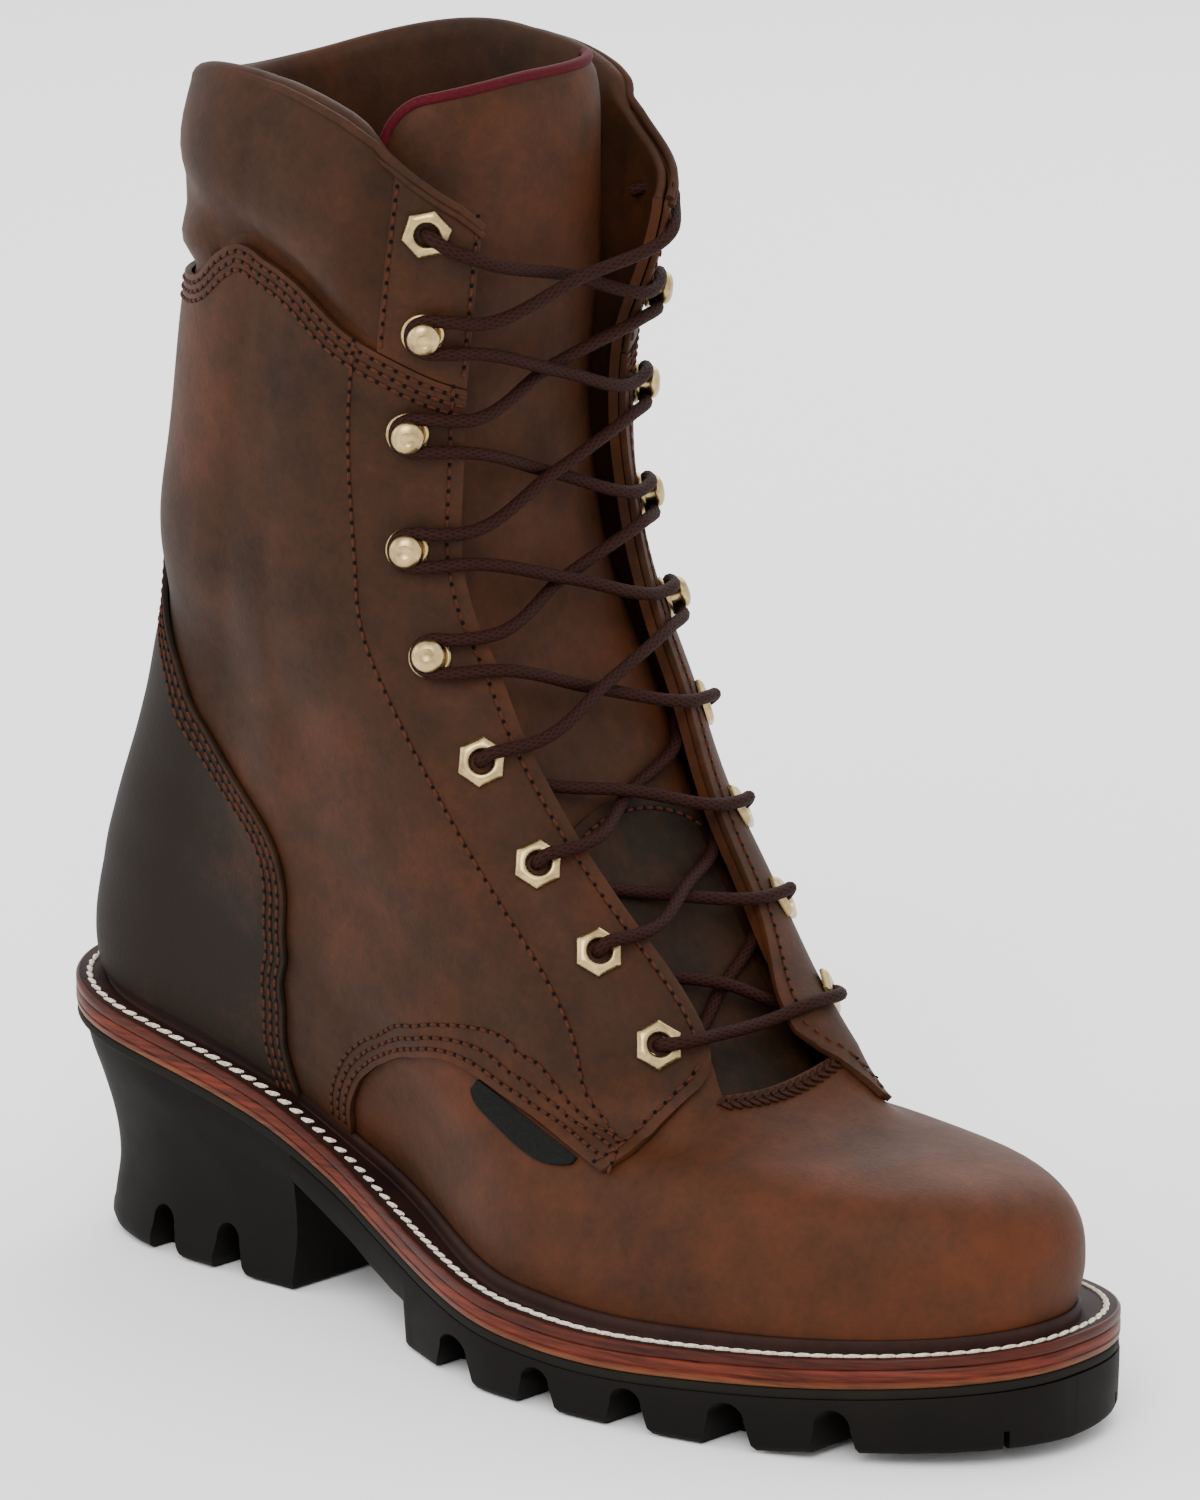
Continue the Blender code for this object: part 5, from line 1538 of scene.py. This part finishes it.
def stud_frame(stud, sign, lift):
    """Place of a stud and its directions away from the throat, up the shaft and outward."""
    turn = sign * stud.turn
    normal = FORM.normal(stud.level, turn)
    up = FORM.at(stud.level + .01, turn) - FORM.at(stud.level - .01, turn)
    away = FORM.at(stud.level, turn + sign * .01) - FORM.at(stud.level, turn)
    away = away - normal * np.dot(away, normal)
    away /= np.linalg.norm(away)
    up = up - normal * np.dot(up, normal)
    up = up - away * np.dot(up, away)
    up /= np.linalg.norm(up)
    return FORM.at(stud.level, turn, lift), away, up, normal


StudRow = namedtuple("StudRow", "radius height corners shift")
EYELET_ROWS = table(
    StudRow,
    (.0046, -.0002, 1, 0), (.0057, -.0001, 1, 0), (.0058, .0006, 1, 0), (.0056, .0010, 1, 0),
    (.0050, .0015, .75, 0), (.0042, .00175, .3, 0), (.0035, .0018, 0, 0), (.0030, .0016, 0, 0),
    (.0027, .0010, 0, 0), (.0026, -.0004, 0, 0), (.0026, -.0014, 0, 0),
)
HOOK_ROWS = table(
    StudRow,
    (.0046, -.0002, 0, 0), (.0050, .0000, 0, 0), (.0051, .0006, 0, 0), (.0048, .0010, 0, 0),
    (.0043, .0011, 0, 0), (.0038, .0008, 0, 0), (.0036, .0004, 0, 0), (.0024, .0004, 0, -.7),
    (.0018, .0010, 0, -1), (.0016, .0022, 0, -1), (.0018, .0031, 0, -.8), (.0026, .0036, 0, -.4),
    (.0035, .0037, 0, -.1), (.0038, .0040, 0, 0), (.0039, .0045, 0, 0), (.0037, .0051, 0, 0),
    (.0032, .0056, 0, 0), (.0024, .0060, 0, 0), (.0017, .0062, 0, 0), (.0015, .0060, 0, 0),
)
# How far a hook's neck stands off its middle, and the mean radius of a six-sided ring
HOOK_REACH = .0016
HEX_FIT = .955


def make_stud(stud, sign, side):
    """A six-sided brass eyelet round a hole closed by a near-black disc of painted shade, or a
    brass hook with a domed head.
    """
    centre, away, up, normal = stud_frame(stud, sign, QUARTER_TOP)
    eyelet = stud.kind == "eyelet"
    rows, spokes = (EYELET_ROWS, 48) if eyelet else (HOOK_ROWS, 40)
    points = []
    for row in rows:
        for angle in np.linspace(0, 2 * math.pi, spokes, endpoint=False):
            off = (angle + math.pi / 6) % (math.pi / 3) - math.pi / 6
            flat = math.cos(math.pi / 6) / math.cos(off)
            radius = row.radius * (1 + (flat / HEX_FIT - 1) * row.corners)
            points.append(centre + away * (radius * math.cos(angle) + row.shift * HOOK_REACH)
                          + up * radius * math.sin(angle) + normal * row.height)
    name = "%s_%d_%s" % (stud.kind, stud.number, side)
    faces = capped_rings(len(rows), spokes)
    obj = mesh_object("boot_" + name, points, faces, material_of("brass"))
    # The cap at the bottom of the eyelet's hole is near black: painted shade inside the hole
    if eyelet:
        obj.data.materials.append(material_of("dark"))
        obj.data.polygons[len(faces) - 1].material_index = 1
    clean_up(obj)
    return finish_piece(obj, "brass", name)


def crossing(start, end, level, over):
    """The middle of a straight run of lace, kept clear of the tongue and of the other run."""
    normal = FORM.normal(level, 0.0)
    radius = sizes().lace_radius
    bed = FORM.at(level, 0.0, -float(tongue_depth(level)) + radius + .0004, folds=False)
    middle = (start + end) / 2
    short = float(np.dot(bed - middle, normal)) + radius
    return middle + normal * (max(short, 0) + over)


def lace_half(sign):
    """One half of the lace, from the bottom bar's middle up to the top eyelet."""
    studs = STUDS[::-1]
    radius = sizes().lace_radius
    outside = QUARTER_TOP + radius + HAIR
    inside = -WALL - radius - .0003
    hold = QUARTER_TOP + .0010 + radius

    def by(stud, side, *steps):
        for away_by, up_by, lift in steps:
            centre, away, up, normal = stud_frame(stud, side, lift)
            points.append(centre + away * away_by + up * up_by)

    first = studs[0]
    points = [FORM.at(first.level, 0.0, outside - .0012),
              FORM.at(first.level, sign * throat_edge(first.level) * .9, outside)]
    by(first, sign, (-.0036, 0, QUARTER_TOP + .0030), (-.0006, 0, QUARTER_TOP + .0014),
       (0, .0003, -.001), (-.0015, .0015, inside - .0003))
    side = sign
    for low, high in zip(studs[:-1], studs[1:]):
        other = -side
        middle = (low.level + high.level) / 2
        over = .0017 * (1 if (side < 0) == (low.number % 2 == 0) else -1)
        low_edge, high_edge = float(throat_edge(low.level)), float(throat_edge(high.level))
        under = high.kind == "eyelet" and high.number != 1
        start_lift = inside if low.number == 9 else outside
        end_lift = inside - .0002 if under else outside
        start = FORM.at(.3 * middle + .7 * low.level, side * low_edge * 1.02, start_lift)
        end = FORM.at(.3 * middle + .7 * high.level, other * high_edge * 1.02, end_lift)
        points.append(start)
        points.append(crossing(start, end, middle, over))
        points.append(end)
        if under:
            by(high, other, (-.0025, -.0012, inside - .0003), (0, -.0002, -.0006),
               (-.0002, .0005, QUARTER_TOP + .0018), (-.0018, .0018, QUARTER_TOP + .0034),
               (-.0052, .0030, outside + .0006))
        elif high.kind == "hook":
            by(high, other, (-.0050, -.0036, hold + .0002), (-.0004, -.0037, hold),
               (.0024, -.0020, hold), (.0030, .0004, hold), (.0022, .0026, hold),
               (-.0006, .0040, hold), (-.0050, .0042, hold + .0002))
        else:
            by(high, other, (-.0050, -.0012, outside + .0010),
               (-.0018, -.0003, QUARTER_TOP + .0026), (0, 0, QUARTER_TOP + .0004),
               (0, 0, -.0024), (.0004, -.0010, inside - .0010))
        side = other
    return points


LACE_STEP = .0009
BRAID_PITCH = .0030


def make_lace():
    """The lace, one round braided cord through every eyelet and hook."""
    path = lace_half(-1)[::-1] + lace_half(1)[1:]
    path = smooth_path(path, int(run_along(path)[-1] / LACE_STEP))
    obj = tube_object("boot_lace", path, sizes().lace_radius, material_of("lace"), BRAID_PITCH)
    names = ["lace_bar"] + ["lace_crossing_%d" % k for k in range(1, 8)]
    return finish_piece(obj, "lace", *names)


def offset_line(line, distance):
    """A line of (turn, level) moved to its left by a distance, or distances, in metres."""
    turn, level = line[:, 0], line[:, 1]
    step = .004
    high, low = np.minimum(level + step, 1), np.maximum(level - step, 0)
    by_turn = FORM.at(level, turn + step, folds=False) - FORM.at(level, turn - step, folds=False)
    by_turn = by_turn / (2 * step)
    by_level = FORM.at(high, turn, folds=False) - FORM.at(low, turn, folds=False)
    by_level = by_level / (high - low)[:, None]
    delta = np.gradient(line, axis=0)
    along = delta[:, :1] * by_turn + delta[:, 1:] * by_level
    left = np.cross(FORM.normal(level, turn), along)
    left = left / np.linalg.norm(left, axis=1, keepdims=True)
    left = left * np.broadcast_to(distance, turn.shape)[:, None]
    tt, tl, ll = (by_turn ** 2).sum(1), (by_turn * by_level).sum(1), (by_level ** 2).sum(1)
    nt, nl = (left * by_turn).sum(1), (left * by_level).sum(1)
    size = tt * ll - tl * tl
    return np.column_stack([turn + (nt * ll - nl * tl) / size, level + (nl * tt - nt * tl) / size])


def placed(line, lift):
    """Points and normals of a (turn, level) line lifted over the form."""
    return FORM.at(line[:, 1], line[:, 0], lift), FORM.normal(line[:, 1], line[:, 0])


def keep_clear(line, barrier, gap):
    """The part of a line that stays a gap away from the points of another line."""
    points = FORM.at(line[:, 1], line[:, 0])
    other = FORM.at(barrier[:, 1], barrier[:, 0])
    near = np.array([np.min(np.linalg.norm(other - p, axis=1)) for p in points])
    return line[near >= gap]


def column_line(columns, levels, sign):
    """A (turn, level) line from columns."""
    return np.column_stack([turn_of(columns, levels, sign), levels])


THREE_ROWS = (.0018, .0041, .0064)


def quarter_seams(sign):
    """Lines of a quarter's seams."""
    start = .012 if sign < 0 else MEDIAL_FRONT[0].turn
    columns = np.linspace(start, WING_FRONT[-1].turn, 200)
    levels = quarter_low(columns, sign)
    front = np.column_stack([quarter_turn(columns, levels, sign), levels])
    columns = np.linspace(WING_FRONT[-1].turn, .640, 260)
    arch = column_line(columns, wing_level(columns), sign)
    lines = [keep_clear(offset_line(front, sign * .0032), arch, .0022)]
    for distance in (.0019, .0042, .0065):
        row = offset_line(arch, sign * distance * (1 + .5 * ease((.37 - columns) / .11)))
        row = keep_clear(row, front, .0032)
        lines.append(row[row[:, 1] > .055])
    levels = np.linspace(.448, .885, 240)
    edge = quarter_turn(0 if sign < 0 else MEDIAL_FRONT[0].turn, levels, sign)
    lines.append(offset_line(np.column_stack([edge, levels]), -sign * .0034))
    levels = np.linspace(EYESTAY_SEAM[0].level, EYESTAY_SEAM[-1].level, 260)
    lines.append(np.column_stack([sign * read_edge(EYESTAY_SEAM, levels), levels]))
    columns = np.linspace(.004, .925, 300)
    top = column_line(columns, read_line(COLLAR_SEAM, columns) - QUARTER_DROP, sign)
    return lines + [offset_line(top, -sign * distance) for distance in THREE_ROWS]


def seam_lines():
    """Brown seams: each a list of points and normals."""
    lines = []
    for sign, side in SIDES:
        lines += [placed(line, QUARTER_TOP + HAIR) for line in quarter_seams(sign)]
        levels = np.linspace(.045, .925, 300)
        edge = np.column_stack([sign * counter_edge(np.maximum(levels, COUNTER_BREAK)), levels])
        for distance in THREE_ROWS:
            row = offset_line(edge, -sign * distance)
            lines.append(placed(row[np.abs(row[:, 0]) < .988], COUNTER_TOP + HAIR))
        for column, low in ((.010, .897), (.152, .912)):
            edge = column_line(np.full(40, column), np.linspace(low, .985, 40), sign)
            lines.append(placed(edge, QUARTER_TOP + HAIR))
    share = np.linspace(-1, 1, 90)
    level = patch_top(share) - .0075
    turn = (throat_edge(level) + .004) * share
    lift = PATCH_THICKNESS + 2 * HAIR - tongue_depth(level)
    return lines + [(FORM.at(level, turn, lift, folds=False), FORM.normal(level, turn))]


def line_mesh(name, lines):
    """A mesh of polylines that carry their outward direction."""
    edges, start = [], 0
    for places, normals in lines:
        edges += [(start + k, start + k + 1) for k in range(len(places) - 1)]
        start += len(places)
    points = np.concatenate([places for places, normals in lines]) - np.array([HEEL_SEAT, 0, 0])
    outs = np.concatenate([normals for places, normals in lines])
    mesh = bpy.data.meshes.new(name)
    mesh.from_pydata(points.tolist(), edges, [])
    attribute = mesh.attributes.new("out", "FLOAT_VECTOR", "POINT")
    attribute.data.foreach_set("vector", outs.astype(np.float32).ravel())
    return linked(name, mesh)


STITCH_INPUTS = ("Spacing", "Stitch Length", "Thread Radius", "Hole Radius", "Slant")


def stitch_tree(name, thread, hole):
    """Geometry Nodes that lay stitches along polylines, with near-black discs between them as
    painted shade in the needle holes.
    """
    tree = bpy.data.node_groups.new(name, "GeometryNodeTree")
    socket(tree, "Geometry", "NodeSocketGeometry")
    for key in STITCH_INPUTS:
        socket(tree, key, "NodeSocketFloat", 0.0)
    socket(tree, "Geometry", "NodeSocketGeometry", output=True)
    n = Nodes(tree)
    given = n.add("NodeGroupInput").outputs

    def blob(rings, material, *moves):
        shape = n.first("GeometryNodeMeshUVSphere", {"Segments": 6, "Rings": rings, "Radius": 1.0})
        for move in moves:
            shape = n.first("GeometryNodeTransform", {"Geometry": shape, **move})
        return n.first("GeometryNodeSetMaterial", {"Geometry": shape, "Material": material})

    def vector(x, y, z):
        return n.first("ShaderNodeCombineXYZ", {0: x, 1: y, 2: z})

    curve = n.first("GeometryNodeMeshToCurve", {"Mesh": given["Geometry"]})
    even = n.first("GeometryNodeResampleCurve", {"Curve": curve, "Length": given["Spacing"]},
                   mode="LENGTH")
    out = n.first("GeometryNodeInputNamedAttribute", {"Name": "out"}, data_type="FLOAT_VECTOR")
    up = n.first("FunctionNodeAlignRotationToVector", {"Vector": out}, axis="Z")
    turned = n.first("FunctionNodeAlignRotationToVector", {
        "Rotation": up, "Vector": n.first("GeometryNodeInputTangent")}, axis="X", pivot_axis="Z")
    thick, wide = given["Thread Radius"], given["Hole Radius"]
    size = vector(n.math("MULTIPLY", given["Stitch Length"], .5), thick,
                  n.math("MULTIPLY", thick, .85))
    stitch = blob(5, thread, {"Rotation": (0, math.pi / 2, 0)}, {"Scale": size},
                  {"Rotation": vector(0.0, 0.0, given["Slant"])})
    # Flat near-black discs between the stitches: painted shade standing in for the needle holes'
    # hollows
    between = vector(n.math("MULTIPLY", given["Spacing"], .5), 0.0, -.00006)
    disc = vector(wide, wide, n.math("MULTIPLY", wide, .3))
    dot = blob(3, hole, {"Translation": between, "Scale": disc})
    both = n.add("GeometryNodeJoinGeometry")
    tree.links.new(stitch, both.inputs[0])
    tree.links.new(dot, both.inputs[0])
    sewn = n.first("GeometryNodeInstanceOnPoints",
                   {"Points": even, "Instance": both.outputs[0], "Rotation": turned})
    real = n.first("GeometryNodeRealizeInstances", {"Geometry": sewn})
    soft = n.first("GeometryNodeSetShadeSmooth", {"Geometry": real})
    tree.links.new(soft, n.add("NodeGroupOutput").inputs[0])
    return tree


def stitched(name, lines, tree, spacing, length, radius, hole, slant=0.0):
    """Run the stitch nodes over lines and keep the plain mesh."""
    obj = line_mesh(name, lines)
    step = obj.modifiers.new("stitches", "NODES")
    step.node_group = tree
    values = dict(zip(STITCH_INPUTS, (spacing, length, radius, hole, slant)))
    for item in tree.interface.items_tree:
        if item.item_type == "SOCKET" and item.name in values:
            step[item.identifier] = values[item.name]
    return apply_modifiers(obj)


def make_seams():
    """Brown seams of the panels and the thick stay at the throat's base."""
    tree = stitch_tree("seam_stitches", material_of("thread"), material_of("hole"))
    obj = stitched("boot_seams", seam_lines(), tree, sizes().seam_spacing,
                   sizes().seam_stitch, sizes().seam_thread, sizes().needle_hole)
    finish_piece(obj, "lining")
    tree = stitch_tree("stay_stitches", material_of("stay"), material_of("hole"))
    turns = np.linspace(-.084, .060, 60)
    for name, below, slant in (("upper", .0055, .65), ("lower", .0115, -.65)):
        line = np.column_stack([turns, np.full(60, THROAT_BASE - below)])
        thick = stitched("boot_throat_stay_" + name, [placed(line, .0005)], tree, .0023, .0036,
                         .00072, .0003, slant)
        finish_piece(thick, "lining")


def make_welt_seam():
    """Cream lockstitch on the welt."""
    turns = np.linspace(-1, 1, 900)
    place, out = sole_outline(turns)
    foot, top = welt_lip(turns)
    reach = np.linalg.norm(place - foot[:, :2], axis=1)[:, None]
    xy = place - out * np.clip(.44 * reach, .0008, .0034)
    points = np.column_stack([xy, welt_top(xy[:, 0]) + HAIR])
    normals = np.tile([0.0, 0.0, 1.0], (len(turns), 1))
    # The welt's needle holes are near-black discs of painted shade too
    tree = stitch_tree("welt_stitches", material_of("cream"), material_of("hole"))
    obj = stitched("boot_welt_seam", [(points, normals)], tree, sizes().welt_spacing,
                   sizes().welt_stitch, sizes().welt_thread, .0003, .18)
    return finish_piece(obj, "lining")


def area_light(name, place, aim, size, power):
    """A soft area light that looks at a point."""
    data = bpy.data.lights.new(name, "AREA")
    data.shape = "RECTANGLE"
    data.size = data.size_y = size
    data.energy = power
    obj = linked(name, data)
    obj.location = place
    obj.rotation_euler = (Vector(aim) - Vector(place)).to_track_quat("-Z", "Y").to_euler()


CAMERA_TARGET = Vector((.10991, 0, .14157))
CAMERA_AZIMUTH = math.radians(42.7286)
CAMERA_ELEVATION = math.radians(14.4595)
CAMERA_DISTANCE = 2.20477
FLOOR_REACH = 12.0


def make_stage(power):
    """Camera, white floor, white world and soft studio lights."""
    back = Vector((math.sin(CAMERA_AZIMUTH) * math.cos(CAMERA_ELEVATION),
                   -math.cos(CAMERA_AZIMUTH) * math.cos(CAMERA_ELEVATION),
                   math.sin(CAMERA_ELEVATION)))
    data = bpy.data.cameras.new("camera")
    data.lens = 224.2
    data.sensor_width = 36
    data.dof.use_dof = False
    data.clip_end = 20
    camera = linked("camera", data)
    camera.location = CAMERA_TARGET + back * CAMERA_DISTANCE
    camera.rotation_euler = back.to_track_quat("Z", "Y").to_euler()
    bpy.context.scene.camera = camera

    mesh = bpy.data.meshes.new("floor")
    corners = ((-1, -1), (1, -1), (1, 1), (-1, 1))
    mesh.from_pydata([(x * FLOOR_REACH, y * FLOOR_REACH, -.0002) for x, y in corners], [],
                     [(0, 1, 2, 3)])
    paper, n = new_material("floor_white")
    n.shade((.97, .97, .97, 1), .9)
    mesh.materials.append(paper)
    linked("floor", mesh)

    world = bpy.data.worlds.new("studio_white")
    world.use_nodes = True
    background = world.node_tree.nodes["Background"].inputs
    background["Color"].default_value = (1, 1, 1, 1)
    background["Strength"].default_value = 1.7
    bpy.context.scene.world = world

    aim = (.10, 0, .14)
    area_light("key", (.9, -1.3, 1.5), aim, 1.1, 26 * power)
    area_light("fill", (-1.2, -1.2, .9), aim, 1.2, 7 * power)
    area_light("rim", (-.6, 1.4, 1.3), aim, 1.2, 14 * power)


def length_property(name, description, default):
    """A size in metres."""
    return FloatProperty(name=name, description=description, default=default, min=0.0, max=.05,
                         precision=5, unit="LENGTH")


def colour_property(name, description, default):
    """A linear colour."""
    return FloatVectorProperty(name=name, description=description, default=default + (1.0,),
                               size=4, min=0.0, max=1.0, subtype="COLOR")


class BootSizes(bpy.types.PropertyGroup):
    """Sizes of the boot's soft and small parts, and the light's strength"""

    collar_padding: length_property("Collar padding", "How far the collar swells out", .0046)
    tongue_padding: length_property("Tongue padding", "How far the tongue swells in", .0045)
    ridge_height: length_property("Ridge height", "Height of the welt's storm ridge", .0038)
    ridge_thickness: length_property("Ridge thickness", "Thickness of the storm ridge", .0022)
    piping_radius: length_property("Piping radius", "Radius of the tongue's piping", .0014)
    lace_radius: length_property("Lace radius", "Radius of the round lace", .00158)
    seam_spacing: length_property("Seam spacing", "From stitch to stitch on the panels", .0031)
    seam_stitch: length_property("Seam stitch", "Length of a stitch on the panels", .0024)
    seam_thread: length_property("Seam thread", "Radius of the panels' thread", .00048)
    # The needle holes are drawn as near-black discs: painted shade
    needle_hole: length_property("Needle hole", "Radius of the panels' needle holes", .00062)
    welt_spacing: length_property("Welt spacing", "From stitch to stitch on the welt", .0040)
    welt_stitch: length_property("Welt stitch", "Length of a stitch on the welt", .0050)
    welt_thread: length_property("Welt thread", "Radius of the welt's thread", .00078)
    light_power: FloatProperty(name="Light power", description="Strength of the studio lights",
                               default=1.0, min=0.0, max=10.0)


class BootColours(bpy.types.PropertyGroup):
    """Colours of the boot's materials"""

    leather_dark: colour_property("Leather dark", "Oiled hollows", (.0082, .0044, .0019))
    leather_middle: colour_property("Leather middle", "Most of the leather", (.0320, .0108, .0036))
    leather_light: colour_property("Leather light", "Worn high places", (.0700, .0182, .0052))
    sole_edge: colour_property("Sole edge", "Upper part of the midsole's edge", (.125, .021, .009))
    sole_edge_low: colour_property("Sole edge low", "Lower band of the edge", (.150, .050, .016))
    slip_sole: colour_property("Slip sole", "Thin rubber layer", (.0062, .0050, .0034))
    rubber: colour_property("Rubber", "Outsole and heel", (.0028, .0019, .0013))
    thread: colour_property("Thread", "Brown seams", (.058, .0150, .0058))
    welt_thread: colour_property("Welt thread", "Cream seam of the welt", (.78, .68, .56))
    lace: colour_property("Lace", "Round lace", (.022, .0050, .0028))
    brass: colour_property("Brass", "Eyelets and hooks", (.50, .36, .17))
    piping: colour_property("Piping", "Tongue's edge", (.038, .0008, .0030))


class BOOT_OT_uppers(bpy.types.Operator):
    """Build the vamp, shaft, quarters, counter, facings and tab"""

    bl_idname = "boot.uppers"
    bl_label = "Uppers"

    def execute(self, context):
        make_upper()
        for sign, side in SIDES:
            make_quarter(sign, side)
            make_facing(sign, side)
            make_collar_edge(sign, side)
        make_counter()
        make_tab()
        return {"FINISHED"}


class BOOT_OT_tongue(bpy.types.Operator):
    """Build the tongue, its patch and piping, and the insole"""

    bl_idname = "boot.tongue"
    bl_label = "Tongue and insole"

    def execute(self, context):
        make_tongue()
        make_tongue_patch()
        make_insole()
        return {"FINISHED"}


class BOOT_OT_sole(bpy.types.Operator):
    """Build the welt, midsole, slip sole, outsole and heel"""

    bl_idname = "boot.sole"
    bl_label = "Sole"

    def execute(self, context):
        make_welt()
        make_midsole()
        make_slip()
        make_outsole()
        make_heel()
        return {"FINISHED"}


class BOOT_OT_metal(bpy.types.Operator):
    """Build the brass eyelets and hooks"""

    bl_idname = "boot.metal"
    bl_label = "Eyelets and hooks"

    def execute(self, context):
        for stud in STUDS:
            for sign, side in SIDES:
                make_stud(stud, sign, side)
        return {"FINISHED"}


class BOOT_OT_lace(bpy.types.Operator):
    """Build the lace"""

    bl_idname = "boot.lace"
    bl_label = "Lace"

    def execute(self, context):
        make_lace()
        return {"FINISHED"}


class BOOT_OT_stitching(bpy.types.Operator):
    """Sew the panels and the welt"""

    bl_idname = "boot.stitching"
    bl_label = "Stitching"

    def execute(self, context):
        make_seams()
        make_welt_seam()
        return {"FINISHED"}


class BOOT_OT_stage(bpy.types.Operator):
    """Set the camera, floor and lights"""

    bl_idname = "boot.stage"
    bl_label = "Stage"

    def execute(self, context):
        make_stage(context.scene.boot_sizes.light_power)
        return {"FINISHED"}


class BOOT_PT_panel(bpy.types.Panel):
    """Lists the boot's operators"""

    bl_label = "Logger boot"
    bl_idname = "BOOT_PT_panel"
    bl_space_type = "VIEW_3D"
    bl_region_type = "UI"
    bl_category = "Boot"

    def draw(self, context):
        for group in (context.scene.boot_sizes, context.scene.boot_colours):
            for name in group.bl_rna.properties.keys():
                if name not in ("rna_type", "name"):
                    self.layout.prop(group, name)
        for operator in OPERATORS:
            self.layout.operator(operator.bl_idname)


OPERATORS = (BOOT_OT_uppers, BOOT_OT_tongue, BOOT_OT_sole, BOOT_OT_metal, BOOT_OT_lace,
             BOOT_OT_stitching, BOOT_OT_stage)
CLASSES = (BootSizes, BootColours) + OPERATORS + (BOOT_PT_panel,)


def register():
    """Register the classes and the scene's sizes."""
    for each in CLASSES:
        bpy.utils.register_class(each)
    bpy.types.Scene.boot_sizes = PointerProperty(type=BootSizes)
    bpy.types.Scene.boot_colours = PointerProperty(type=BootColours)


def unregister():
    """Take the classes and sizes out again."""
    del bpy.types.Scene.boot_colours
    del bpy.types.Scene.boot_sizes
    for each in reversed(CLASSES):
        bpy.utils.unregister_class(each)


def main():
    """Build the boot with its operators."""
    register()
    bpy.ops.boot.uppers()
    bpy.ops.boot.tongue()
    bpy.ops.boot.sole()
    bpy.ops.boot.metal()
    bpy.ops.boot.lace()
    bpy.ops.boot.stitching()
    bpy.ops.boot.stage()


if __name__ == "__main__":
    main()
